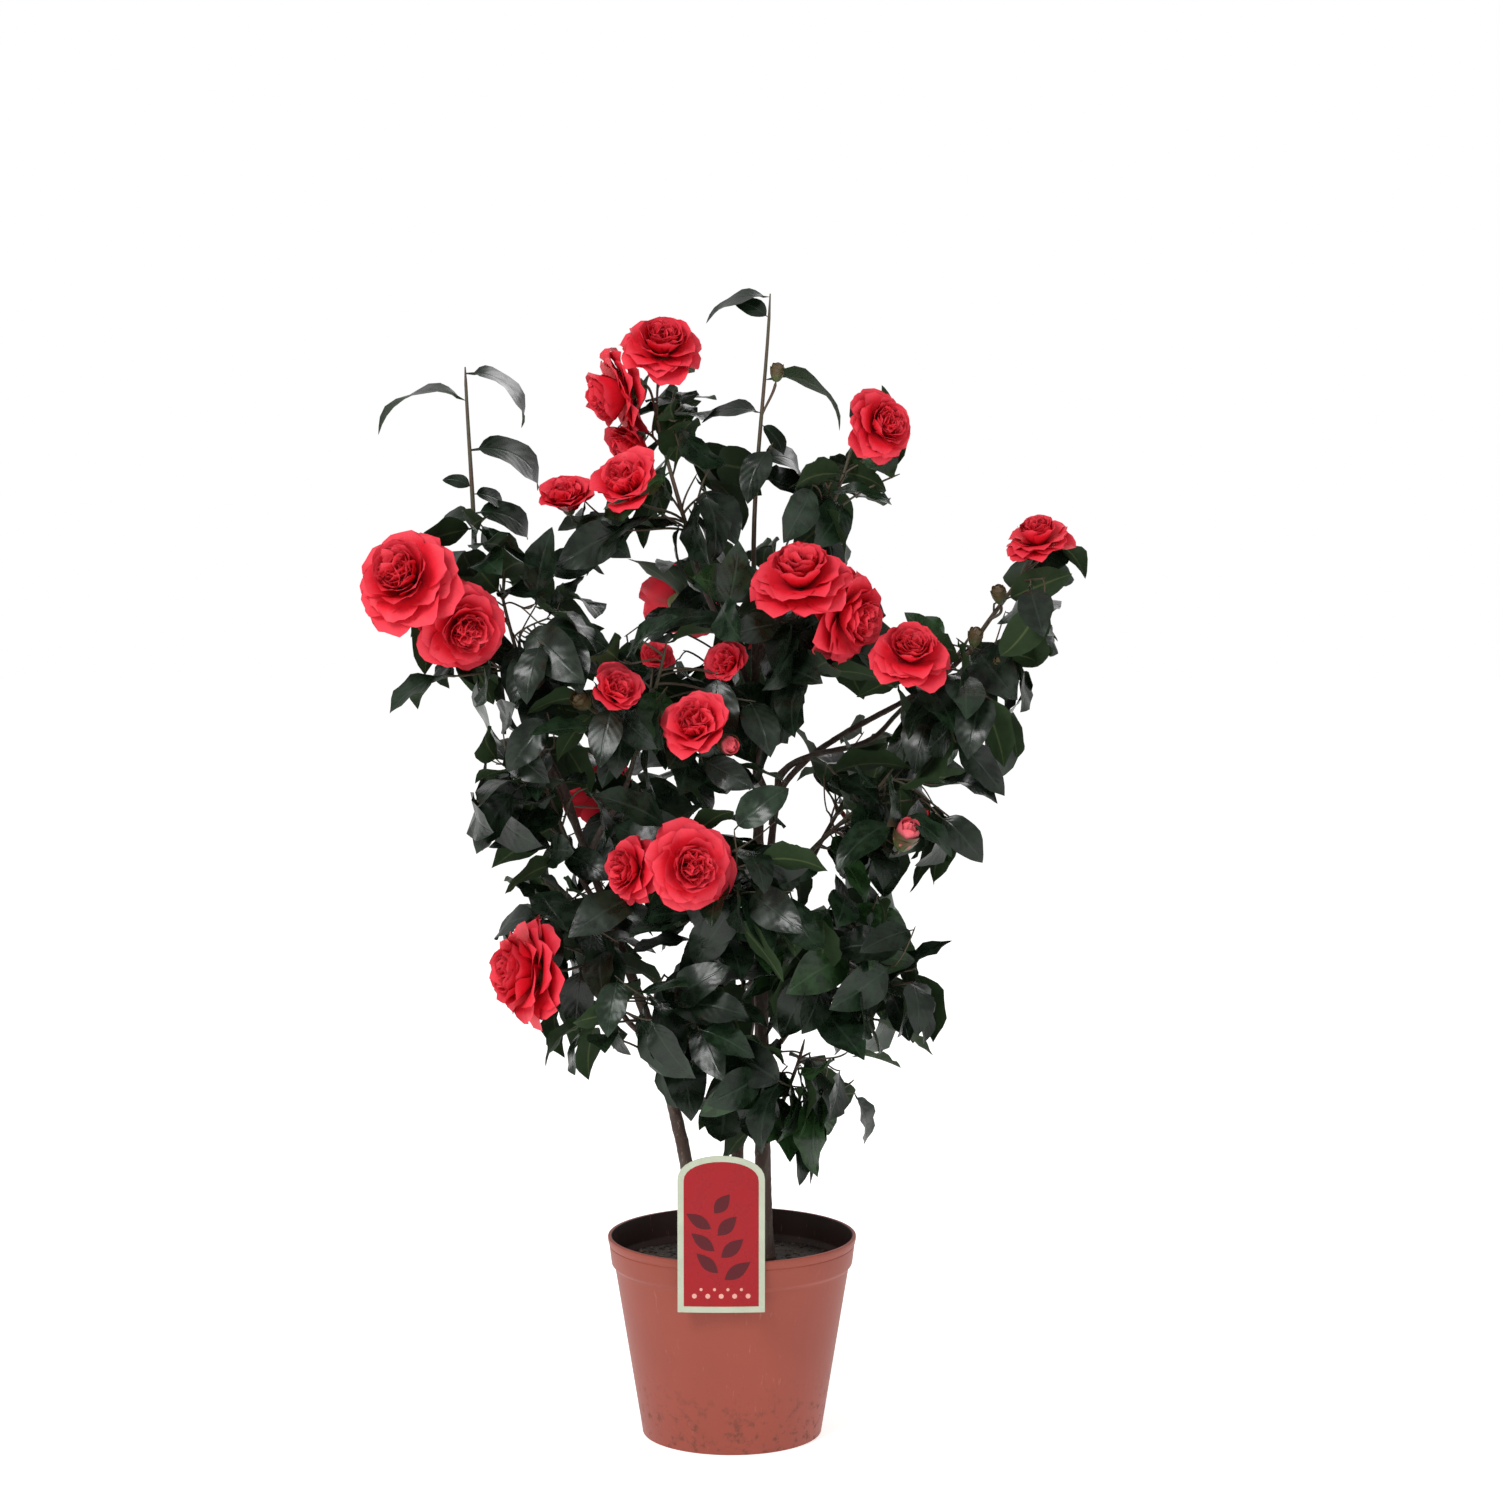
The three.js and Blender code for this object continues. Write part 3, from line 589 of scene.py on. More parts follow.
def grow_bough(grown, stem):
    mass = grown.mass
    start = stem.at(mass.at)
    away = start - grown.centre
    foot = grown.centre + away * BOUGH_ENDS * grown.room_along(away)
    if mass.foot:
        foot = np.array(mass.foot, float)
    out = unit(towards(start, foot) + stem.heading(mass.at) * BOUGH_CLING)
    return Limb(start, foot, out, unit(towards(foot, grown.centre) + UP * BOUGH_LIFT))


def grow_spine(grown, stem):
    mass = grown.mass
    bearer = grown.bough or stem
    foot = bearer.at(1) + bearer.heading(1) * GAP
    top = grown.centre + UP * SPINE["top"] * grown.reach[2]
    if mass.shoot:
        top = np.array(mass.shoot.top, float)
    return Limb(foot, top, bearer.heading(1), unit(towards(foot, top) + UP * SPINE["lift"]))


def fork_near(spine, place, first):
    """The share of a spine, of nine from the first on, that is nearest to a place."""
    shares = first + 0.1 * np.arange(9)
    return shares[np.linalg.norm(spine.at(shares) - place, axis=1).argmin()]


def grow_bloom_twigs(grown, room):
    """A twig to each bloom leaves the spine a little below it and comes up behind it."""
    for bloom in grown.mass.blooms:
        face, at, radius = facing(bloom.turn, bloom.rise), np.array(bloom.at, float), bloom.across / 2
        back = at + face * radius * BLOOM_BACK[bloom.form]
        fork = fork_near(grown.spine, back - face * BLOOM_TWIG["behind"] - UP * BLOOM_TWIG["below"], 0.05)
        start, heading = grown.spine.at(fork), grown.spine.heading(fork)
        out = unit(heading + (towards(start, back) - heading) * BLOOM_TWIG["turns"])
        limb = Limb(start, back, out, face)
        room.take_limb(limb, TAKING["twig"], grown.owner)
        radii = (TWIG_SHARE * taper(SPINE_RADIUS, fork), BLOOM_TWIG["tip"])
        leaves = BLOOM_TWIG["bud_leaves" if bloom.form == "bud" else "leaves"]
        grown.twigs.append(Twig(limb, radii, leaves, BLOOM_TWIG["spacing"], begin=BLOOM_TWIG["begin"], end=1))
        room.take(at, radius * 0.9, grown.owner)
        if bloom.form != "bud":
            room.take(at + face * radius * 0.9, radius * 0.75, grown.owner)


def grow_side_twig(grown, index, room):
    """A side twig leaves the spine by the golden angle and stops well short of the edge of its space."""
    mass = grown.mass
    swung, raised, stretch = grown.draw(), grown.draw(), grown.draw()
    fork = taper(FORKS, (index + 0.5) / mass.twigs)
    start = grown.spine.at(fork)
    rise = SIDE_TWIG["low"] + SIDE_TWIG["climb"] * fork + SIDE_TWIG["play"] * (raised - 0.5)
    stops = np.arange(1, 11) / 10
    for attempt in range(TRIES):
        turn = index * GOLDEN_ANGLE + swung * SIDE_TWIG["swing"] + attempt * SIDE_TWIG["step"] + mass.seed
        way = turned(np.array((math.cos(turn), math.sin(turn), 0.0)), UP, rise)
        tip = grown.centre + way * grown.room_along(way) * taper(TWIG_ENDS, stretch)
        limb = Limb(start, tip, unit(towards(start, tip) + UP * 0.5), unit(way + UP * 0.15))
        clear = not room.blocked(limb.at(stops), grown.owner, stops > SIDE_TWIG["clear_from"])
        if np.linalg.norm(tip - start) < SHORTEST_TWIG or not clear:
            continue
        room.take_limb(limb, TAKING["twig"], grown.owner)
        radii = (TWIG_SHARE * taper(SPINE_RADIUS, fork), TWIG_TIP)
        grown.twigs.append(Twig(limb, radii, SIDE_TWIG["leaves"], SIDE_TWIG["spacing"], tipped=True))
        return


def grow_sprays(grown, room):
    """A further twig, first to bear its leaves, to each place where the crown is at its fullest."""
    for tip in np.array(grown.mass.sprays, float).reshape(-1, 3):
        start = grown.spine.at(fork_near(grown.spine, tip - UP * SPRAY["below"], 0.1))
        way = towards(start, tip)
        limb = Limb(start, tip, unit(way + UP * 0.3), unit(way + UP * 0.2))
        room.take_limb(limb, TAKING["twig"], grown.owner)
        radii = (SPRAY["foot"], TWIG_TIP)
        grown.twigs.insert(0, Twig(limb, radii, SPRAY["leaves"], SPRAY["spacing"], tipped=True))


def grow_finer_twigs(grown, bearer, room):
    """Finer twigs leave a twig by the golden angle, well up it."""
    count = grown.mass.finer
    stops = np.arange(1, 7) / 6
    first = grown.draw() * 2 * math.pi
    for index in range(count):
        fork = taper(FINER["forks"], (index + grown.draw()) / count)
        start, axis = bearer.limb.at(fork), bearer.limb.heading(fork)
        length = taper(FINER["lengths"], grown.draw())
        open_by = FINER["opens"] + FINER["more"] * grown.draw()
        for attempt in range(TRIES):
            out = turned(*square_to(axis), first + index * GOLDEN_ANGLE + attempt * FINER["step"])
            way = unit(turned(axis, out, open_by) + UP * 0.12)
            tip = start + way * length * (1 - FINER["shrink"] * attempt)
            limb = Limb(start, tip, unit(way + axis * 0.7), unit(way + UP * 0.25))
            points = limb.at(stops)
            if grown.inside(points) and not room.blocked(points, grown.owner, stops > FINER["clear_from"]):
                room.take_limb(limb, TAKING["twig"], grown.owner)
                radii = (min(FINER["thickest"], FINER["share"] * taper(bearer.radii, fork)), FINER["tip"])
                finer = Twig(limb, radii, FINER["leaves"], FINER["spacing"], tipped=True)
                finer.bearer = (bearer, fork)
                grown.twigs.append(finer)
                break


def leaf_half(s, length, share):
    """Half the width of a leaf `s` of the way from the foot of its stalk to its tip."""
    blade = np.clip((s - 0.1) / 0.9, 0, 1)
    full = blade**0.6 * (1 - blade) ** 0.8 * (1 - 0.5 * blade**6) / 0.383
    return length * np.maximum(full * share / 2, LEAF["stalk"] * (1 - s))


def leaf_frame(twig, t, turn, open_by, draws):
    """A leaf at a place on its twig: it opens away from the twig, hangs, and turns its face to the light."""
    root, axis = twig.limb.at(t), twig.limb.heading(t)
    out = turned(*square_to(axis), turn)
    way = turned(axis, out, open_by)
    way = unit(way - UP * (LEAF["hangs"] + LEAF["leans"] * draws["leaned"]))
    light = UP + out * 0.35 + outwards(root) * 0.6
    level = unit(light - way * light.dot(way))
    roll = (draws["rolled"] - 0.5) * LEAF["rolls"]
    return root, way, turned(level, np.cross(level, way), roll)


LEAF_ROWS, LEAF_COLUMNS = (
    grid.ravel() for grid in np.meshgrid(np.arange(1, 10) / 9, (-0.9, -0.45, 0, 0.45, 0.9), indexing="ij")
)


def leaf_points(root, way, top, length, arch, share):
    """Points all over a leaf's blade, bent along its midrib."""
    spread = LEAF_COLUMNS * leaf_half(LEAF_ROWS, length, share)
    bend = arch * LEAF_ROWS
    run = length * np.sin(bend) / arch
    lift = np.abs(spread) * FOLD_SHARE - length * (1 - np.cos(bend)) / arch
    return root + np.outer(run, way) + np.outer(lift, top) + np.outer(spread, np.cross(top, way))


def grow_shoot_leaves(grown, longest, share, room):
    """The few leaves of an upright shoot arch well out from it."""
    limb = grown.spine
    for turn, drop, size, roll, open_by in grown.mass.shoot.leaves:
        t = 1 - drop / limb.length()
        root, axis = limb.at(t), limb.heading(t)
        out = turned(*square_to(axis), math.radians(turn))
        way = turned(axis, out, open_by)
        light = UP - np.array((0.0, roll * 1.6, 0.0))
        top = unit(light - way * light.dot(way))
        bend = len(ARCHES) - 1 - int(size < 0.8)
        points = leaf_points(root, way, top, longest * size, ARCHES[bend], share)
        room.take(points, TAKING["leaf"], grown.owner)
        grown.leaves.append((root, way, top, longest * size, bend * LEAF_LOOKS, 0))


def grow_leaves(grown, twig, sizes, room):
    """Leaves stand round a twig by the golden angle from its tip down. A spray has one green."""
    draw = grown.draw
    length, begin, tinted = twig.limb.length(), draw() * 2 * math.pi, draw()
    tint = 2 if tinted < grown.mass.fresh else int(tinted > LEAF["mid_from"])
    for i in range(twig.count):
        draws = {name: draw() for name in ("grown", "bent", "leaned", "rolled", "look")}
        t = 1 - (i + twig.begin) * twig.spacing * (0.85 + 0.3 * draw()) / length
        if t < LEAF["lowest"]:
            continue
        open_by = OPENINGS["side"] + OPENINGS["more"] * draws["leaned"]
        if i == 0 and twig.tipped:
            open_by = OPENINGS["tip"]
        size = taper(sizes[:2], draws["grown"])
        bend = int(draws["bent"] * (len(ARCHES) - 1))
        for attempt in range(TRIES):
            root, way, top = leaf_frame(twig, t, begin + i * GOLDEN_ANGLE + attempt, open_by, draws)
            points = leaf_points(root, way, top, size, ARCHES[bend], sizes[2])
            if not grown.inside(points) or in_clearing(points):
                continue
            if not room.blocked(points, grown.owner, LEAF_ROWS > LEAF["clear_from"]):
                twig.bears(t)
                room.take(points, TAKING["leaf"], grown.owner)
                form = bend * LEAF_LOOKS + int(draws["look"] * LEAF_LOOKS)
                grown.leaves.append((root, way, top, size, form, tint))
                break


@lru_cache(maxsize=1)
def grow_shrub(shortest, longest, width_share):
    """The whole growth: stems and boughs, then twigs, then leaves."""
    room = Room()
    limbs = -1
    stems = {name: grow_stem(stem) for name, stem in STEMS.items()}
    for name, limb in stems.items():
        room.take_limb(limb, STEMS[name].radius[0], limbs)
    masses = [Grown(name, mass, owner) for owner, (name, mass) in enumerate(MASSES.items())]
    for grown in masses:
        stem = stems[grown.mass.stem]
        if grown.mass.at is not ON_TIP:
            grown.bough = grow_bough(grown, stem)
            room.take_limb(grown.bough, TAKING["limb"], limbs)
        grown.spine = grow_spine(grown, stem)
        room.take_limb(grown.spine, TAKING["spine"], grown.owner)
    for grown in masses:
        grow_bloom_twigs(grown, room)
    for grown in masses:
        for index in range(grown.mass.twigs):
            grow_side_twig(grown, index, room)
        leaves = 0 if grown.mass.shoot else SPINE["leaves"]
        grown.twigs.append(Twig(grown.spine, SPINE_RADIUS, leaves, SPINE["spacing"], tipped=True, end=1))
    room.gaps = (OWN_GAP, OTHER_GAP)
    sizes = (shortest, longest, width_share)
    nobody = len(masses)
    before = np.linspace(0.3, 1, 6)[:, None] * (0.0, -SIGHT_LINE, 0.0)
    for bloom in (bloom for grown in masses for bloom in grown.mass.blooms if bloom.at[1] < FRONT):
        room.take(np.array(bloom.at) + before, bloom.across * 0.4, nobody)
    for grown in masses:
        if grown.mass.shoot:
            grow_shoot_leaves(grown, longest, width_share, room)
    for grown in masses:
        bearers = [twig for twig in grown.twigs if twig.count]
        grow_sprays(grown, room)
        for twig in bearers:
            grow_finer_twigs(grown, twig, room)
    for grown in masses:
        for twig in grown.twigs:
            grow_leaves(grown, twig, sizes, room)
    for grown in masses:
        for twig in reversed(grown.twigs):
            if twig.bearer and twig.end:
                bearer, fork = twig.bearer
                bearer.bears(fork)
        grown.twigs = [twig for twig in grown.twigs if twig.end]
    return stems, masses


def growth(context):
    foliage = context.scene.shrub_foliage
    return grow_shrub(foliage.shortest / MM, foliage.longest / MM, foliage.width_share)


# Nodes for materials and geometry


class Out:
    """A node's output in an expression: arithmetic on it adds Math nodes."""

    def __init__(self, graph, node, socket):
        self.graph = graph
        self.node = node
        self.socket = socket

    def __getitem__(self, name):
        return Out(self.graph, self.node, self.node.outputs[name])

    def math(self, operation, *values):
        return self.graph.add("ShaderNodeMath", {"operation": operation}, dict(enumerate(values)))

    def __add__(self, other):
        return self.math("ADD", self, other)

    def __sub__(self, other):
        return self.math("SUBTRACT", self, other)

    def __rsub__(self, other):
        return self.math("SUBTRACT", other, self)

    def __mul__(self, other):
        return self.math("MULTIPLY", self, other)

    def __abs__(self):
        return self.math("ABSOLUTE", self)

    __radd__ = __add__
    __rmul__ = __mul__


class Graph:
    """A node tree that grows by one method."""

    def __init__(self, tree):
        self.tree = tree

    def add(self, kind, settings=None, sockets=None):
        """A node with its settings, then the values or links of its sockets. Gives its first live output."""
        node = self.tree.nodes.new(kind)
        for name, value in (settings or {}).items():
            if name == "stops":
                ramp = node.color_ramp.elements
                while len(ramp) < len(value):
                    ramp.new(0.5)
                for element, (position, colour) in zip(ramp, value):
                    element.position = position
                    element.color = (*colour, 1)
            else:
                setattr(node, name, value)
        for key, value in (sockets or {}).items():
            socket = node.inputs[key]
            if isinstance(value, Out):
                self.tree.links.new(value.socket, socket)
            elif socket.type == "RGBA" and len(value) == 3:
                socket.default_value = (*value, 1)
            else:
                socket.default_value = value
        live = [output for output in node.outputs if output.enabled]
        return Out(self, node, live[0] if live else None)

    def blend(self, share, first, second):
        """Two colours mixed."""
        return self.add("ShaderNodeMix", {"data_type": "RGBA"}, {0: share, 6: first, 7: second})

    def shades(self, share, colour, low, high):
        """A colour from one share of itself to another."""
        return self.blend(share, darker(colour, low), darker(colour, high))

    def ease(self, value, low, high, to_low=0.0, to_high=1.0):
        """A value's smooth step from one level to another."""
        settings = {"interpolation_type": "SMOOTHSTEP"}
        return self.add("ShaderNodeMapRange", settings, {0: value, 1: low, 2: high, 3: to_low, 4: to_high})

    def place(self, stretch=(1, 1, 1)):
        """Object coordinates, stretched."""
        where = self.add("ShaderNodeTexCoord")["Object"]
        return self.add("ShaderNodeMapping", {}, {"Vector": where, "Scale": stretch})

    def own_map(self):
        """The two numbers of a piece's own UV map."""
        where = self.add("ShaderNodeUVMap", {"uv_map": "UVMap"})
        parts = self.add("ShaderNodeSeparateXYZ", {}, {0: where})
        return parts["X"], parts["Y"]

    def cloud(self, scale, detail=3.0, roughness=0.5, stretch=(1, 1, 1), vector=None):
        """Soft noise from 0 to 1, over the object's own coordinates unless given others."""
        vector = vector or self.place(stretch)
        sockets = {"Vector": vector, "Scale": scale, "Detail": detail, "Roughness": roughness}
        return self.add("ShaderNodeTexNoise", {}, sockets)

    def bump(self, height, strength, depth):
        return self.add("ShaderNodeBump", {}, {"Height": height, "Strength": strength, "Distance": depth})


@lru_cache(maxsize=None)
def finish(name, build, *values):
    """A material whose surface is what `build` gives for the sockets of its shader."""
    material = bpy.data.materials.new(name)
    material.use_nodes = True
    material.node_tree.nodes.clear()
    graph = Graph(material.node_tree)
    shader = graph.add("ShaderNodeBsdfPrincipled", {}, build(graph, *values))
    graph.add("ShaderNodeOutputMaterial", {}, {"Surface": shader})
    return material


def darker(colour, share):
    return tuple(channel * share for channel in colour)


def surface(colour, roughness, height, strength, depth, shine=0.5):
    """The sockets of a shader: its colour, roughness, the relief of a height, and how much it mirrors."""
    return {
        "Base Color": colour,
        "Roughness": roughness,
        "Specular IOR Level": shine,
        "Normal": height.graph.bump(height, strength, depth),
    }


def leaf_face(graph, colour):
    """Waxed green, mottled, with a paler midrib and sunken side veins."""
    along, across = graph.own_map()
    off = abs(across - 0.5) * 2
    mottle = graph.ease(graph.cloud(90.0), 0.35, 0.7)
    rib = graph.ease(off, 0.02, 0.10, 1.0, 0.0)
    pale = tuple(channel * 1.5 + 0.012 for channel in colour)
    green = graph.blend(rib * 0.6, graph.shades(mottle, colour, 0.6, 1.35), pale)
    veins = along.math("SINE", (along * 9 - off * 2.2) * 2 * math.pi)
    rough = graph.ease(mottle, 0.0, 1.0, 0.25, 0.35)
    return surface(green, rough, veins * 0.14 - rib * 0.6, 0.4, 0.0006, 0.38)


def leaf_back(graph, colour):
    """Matt and paler, with the midrib standing out."""
    _, across = graph.own_map()
    rib = graph.ease(abs(across - 0.5), 0.01, 0.05, 1.0, 0.0)
    mottle = graph.cloud(140.0)
    green = graph.blend(rib * 0.6, graph.shades(mottle, colour, 0.75, 1.2), (0.10, 0.13, 0.05))
    return surface(green, 0.65, mottle, 0.2, 0.0006, 0.12)


def petal_face(graph, colour, edge):
    """Soft petal, deeper at its foot and paler at its edge, with fine lengthwise streaks."""
    along, across = graph.own_map()
    lanes = graph.add("ShaderNodeCombineXYZ", {}, {0: along * 1.5, 1: across * 26, 2: 0.0})
    streak = graph.cloud(1.0, 2.0, vector=lanes)
    tone = graph.shades(graph.ease(along, 0.05, 0.6), colour, 0.55, 1)
    tone = graph.blend(graph.ease(along, 0.66, 1.0) * 0.55, tone, edge)
    tone = graph.blend(graph.ease(streak, 0.3, 0.75) * 0.22, tone, darker(colour, 0.7))
    return surface(tone, 0.5, streak, 0.25, 0.0008, 0.2)


def scale_face(graph, colour):
    """A bud's scale: green, brown at its tip."""
    along, _ = graph.own_map()
    tone = graph.blend(graph.ease(along, 0.35, 1.0) * 0.8, colour, (0.10, 0.045, 0.022))
    return surface(tone, 0.5, graph.cloud(1500.0, 2.0), 0.2, 0.0003)


def bark_face(graph, colour):
    """Reddish brown, with grey lengthwise patches and fine pale specks."""
    fibre = graph.cloud(700.0, 5.0, 0.65, (1, 1, 0.12))
    patch = graph.ease(graph.cloud(70.0, stretch=(1, 1, 0.4)), 0.48, 0.66)
    speck = graph.ease(graph.cloud(420.0, 1.0, stretch=(1, 1, 0.6)), 0.66, 0.72)
    brown = graph.blend(patch * 0.55, graph.shades(fibre, colour, 0.45, 1.35), (0.13, 0.11, 0.09))
    brown = graph.blend(speck * 0.5, brown, (0.24, 0.19, 0.14))
    return surface(brown, graph.ease(fibre, 0.3, 0.7, 0.62, 0.85), fibre + speck * 0.6, 0.5, 0.0006)


def twig_face(graph, colour):
    """Young bark: olive, reddening in patches."""
    fibre = graph.cloud(900.0, stretch=(1, 1, 0.3))
    patch = graph.ease(graph.cloud(35.0, 2.0), 0.42, 0.6)
    green = graph.blend(patch * 0.7, graph.shades(fibre, colour, 0.6, 1.3), (0.085, 0.040, 0.026))
    return surface(green, 0.55, fibre, 0.35, 0.0004)


def pot_face(graph, colour):
    """Moulded plastic, sun-bleached in clouds, scuffed, and splashed with soil near its foot."""
    height = graph.add("ShaderNodeSeparateXYZ", {}, {0: graph.place()})["Z"]
    scuff = graph.ease(graph.cloud(260.0, 4.0, 0.7, (1, 1, 0.15)), 0.62, 0.72)
    splash = graph.ease(graph.cloud(110.0, 5.0, 0.7), 0.5, 0.68) * graph.ease(height, 0.0, 0.09, 1.0, 0.0)
    tone = graph.shades(graph.cloud(14.0, 4.0), colour, 0.84, 1.12)
    tone = graph.blend(scuff * 0.3, tone, (0.50, 0.20, 0.15))
    tone = graph.blend(splash * 0.6, tone, (0.060, 0.040, 0.028))
    rough = graph.ease(scuff + splash, 0.0, 1.0, 0.46, 0.72)
    return surface(tone, rough, graph.cloud(1600.0, 2.0) + scuff * 0.5, 0.18, 0.0004, 0.25)


def soil_face(graph, colour):
    """Damp compost, with paler fibres."""
    lump = graph.cloud(160.0, 6.0, 0.7)
    fibre = graph.ease(graph.cloud(500.0, stretch=(1, 0.25, 1)), 0.6, 0.7)
    brown = graph.blend(fibre * 0.5, graph.shades(lump, colour, 0.4, 1.7), (0.10, 0.065, 0.040))
    return surface(brown, graph.ease(lump, 0.3, 0.7, 0.7, 0.95), lump, 0.8, 0.003)


def card_face(graph, colour):
    """Printed plastic card, faintly marbled by handling."""
    cloud = graph.cloud(60.0, 4.0)
    tone = graph.shades(cloud, colour, 0.82, 1.12)
    rough = graph.ease(cloud, 0.3, 0.7, 0.24, 0.36)
    return surface(tone, rough, graph.cloud(2600.0, 1.0), 0.06, 0.0002, 0.25)


def floor_face(graph, colour):
    """Plain white floor, lit a little from below."""
    return {"Base Color": colour, "Roughness": 0.8, "Emission Color": colour, "Emission Strength": 0.6}


# Meshes


def mesh_from(name, points, faces, uvs=None, marks=None):
    """A smooth mesh in metres. `uvs` has one pair for each point, `marks` one whole number for each face."""
    mesh = bpy.data.meshes.new(name)
    mesh.from_pydata((np.asarray(points) * MM).tolist(), [], [list(face) for face in faces])
    mesh.validate()
    mesh.shade_smooth()
    if uvs is not None:
        layer = mesh.uv_layers.new(name="UVMap")
        corners = np.empty(len(mesh.loops), int)
        mesh.loops.foreach_get("vertex_index", corners)
        layer.data.foreach_set("uv", np.asarray(uvs, float)[corners].ravel())
    if marks is not None:
        mesh.attributes.new("mark", "INT", "FACE").data.foreach_set("value", np.asarray(marks, np.int32))
    return mesh


def made_mesh(name, shape):
    """A bmesh as a mesh."""
    mesh = bpy.data.meshes.new(name)
    shape.to_mesh(mesh)
    shape.free()
    return mesh


def placed(name, data):
    """A new object in the scene."""
    obj = bpy.data.objects.new(name, data)
    bpy.context.scene.collection.objects.link(obj)
    return obj


def baked(obj):
    """What an object's modifiers make of its mesh, as a plain mesh. The object itself goes."""
    evaluated = obj.evaluated_get(bpy.context.evaluated_depsgraph_get())
    mesh = bpy.data.meshes.new_from_object(evaluated)
    obj.modifiers.clear()
    bpy.data.objects.remove(obj)
    return mesh


def circle(radius, sides):
    turns = np.arange(sides) * 2 * math.pi / sides
    return [(radius * math.cos(a), radius * math.sin(a)) for a in turns]


def sheet(name, top, thickness, crease=70):
    """A thin closed blade: a grid of points for its upper side, and an under side that meets its rim."""
    rows, columns = top.shape[:2]
    across, along = np.gradient(top, axis=1), np.gradient(top, axis=0)
    normal = np.cross(along, across)
    normal /= np.linalg.norm(normal, axis=2, keepdims=True) + 1e-9
    under = top - normal * thickness
    index = np.arange(rows * columns).reshape(rows, columns)
    below = index.copy()
    below[1:-1, 1:-1] = rows * columns + np.arange((rows - 2) * (columns - 2)).reshape(rows - 2, columns - 2)
    faces, marks = [], []
    for i, j in product(range(rows - 1), range(columns - 1)):
        faces.append((index[i, j], index[i + 1, j], index[i + 1, j + 1], index[i, j + 1]))
        faces.append((below[i, j], below[i, j + 1], below[i + 1, j + 1], below[i + 1, j]))
        marks += [0, 1]
    uvs = np.stack(np.meshgrid(np.linspace(0, 1, rows), np.linspace(0, 1, columns), indexing="ij"), -1)
    points = np.concatenate((top.reshape(-1, 3), under[1:-1, 1:-1].reshape(-1, 3)))
    uvs = np.concatenate((uvs.reshape(-1, 2), uvs[1:-1, 1:-1].reshape(-1, 2)))
    mesh = mesh_from(name, points, faces, uvs, marks)
    mesh.set_sharp_from_angle(angle=math.radians(crease))
    return mesh


LEAF_STATIONS = (0, 0.09, 0.14, 0.20, 0.28, 0.38, 0.49, 0.60, 0.71, 0.81, 0.90, 0.96, 1)
BLADE = {
    "twist": 0.16, "wave": 0.15, "more_fold": 0.05, "rib": 0.016, "rib_thins": 0.010,
    "edge": 0.004, "stalk": 0.012,
}


def leaf_form(arch, look, share):
    """A leaf one metre long, bent along its midrib, with its own wave and twist."""
    s, t = np.meshgrid(LEAF_STATIONS, (-1, 0, 1), indexing="ij")
    half = leaf_half(s, 1, share)
    turn = (look - (LEAF_LOOKS - 1) / 2) * BLADE["twist"] * s**2
    wave = BLADE["wave"] * np.sin(2 * math.pi * (s * (1.5 + 0.5 * look) + 0.27 * look) + t) * t**2
    spread = t * half
    lift = np.abs(spread) * (FOLD_SHARE + BLADE["more_fold"] * look) + wave * half
    bend = arch * s
    run = np.sin(bend) / arch + np.sin(bend) * lift
    drop = -(1 - np.cos(bend)) / arch + np.cos(bend) * lift
    top = np.stack((run, spread * np.cos(turn) - lift * np.sin(turn), drop + spread * np.sin(turn)), -1)
    rib = BLADE["rib"] - BLADE["rib_thins"] * s
    thick = np.where(t == 0, rib, BLADE["edge"]) + BLADE["stalk"] * (s < 0.1)
    return sheet("leaf", top / MM, thick[..., None] / MM)


PETAL_THICKNESS, SCALE_THICKNESS, PETAL_CREASE = 0.012, 0.06, 60


def petal_form(width, hollow, cup, tip, ruffle, phase):
    """A petal one metre long: a square grid drawn out to a rounded outline on a narrow foot."""
    u, v = np.meshgrid(np.linspace(-1, 1, 7), np.linspace(-1, 1, 6), indexing="ij")
    x = (u * np.sqrt(1 - v**2 / 2) + 1) / 2
    y = v * np.sqrt(1 - u**2 / 2) * width / 2 * (0.30 + 0.70 * np.clip(x * 1.5, 0, 1) ** 0.8)
    notch = 0.06 * np.exp(-((v * 3.2) ** 2)) * np.clip(x - 0.7, 0, 1) / 0.3
    around = np.arctan2(v, u)
    edge = np.maximum(np.abs(u), np.abs(v)) ** 3
    z = hollow * x**2 + cup * (y / (width / 2)) ** 2 - tip * x**4
    z = z + ruffle * edge * np.clip(x * 1.3, 0, 1) * np.sin(around * 5 + phase)
    return sheet("petal", np.stack((x - notch, y, z), -1) / MM, PETAL_THICKNESS / MM, PETAL_CREASE)


def scale_form(width, hollow):
    """A bud's scale one metre long, bent over the bud that it lies on."""
    u, v = np.meshgrid(np.linspace(-1, 1, 6), np.linspace(-1, 1, 5), indexing="ij")
    x = (u * np.sqrt(1 - v**2 / 2) + 1) / 2
    y = v * np.sqrt(1 - u**2 / 2) * width / 2
    z = -hollow * x**2 - 0.55 * y**2 / (width / 2)
    return sheet("scale", np.stack((x, y, z), -1) / MM, SCALE_THICKNESS / MM, PETAL_CREASE)


def core_form():
    """The closed middle of a bud: an egg one metre long, from 0 to its tip on +X."""
    rings = []
    for share in np.linspace(0.06, 0.94, 6):
        girth = 0.36 * math.sin(math.pi * share**0.85)
        rings.append([(share, girth * math.cos(a), girth * math.sin(a)) for a in np.arange(8) * math.pi / 4])
    return lofted("core", np.array(rings) / MM, (0, 0, 0), (1 / MM, 0, 0))


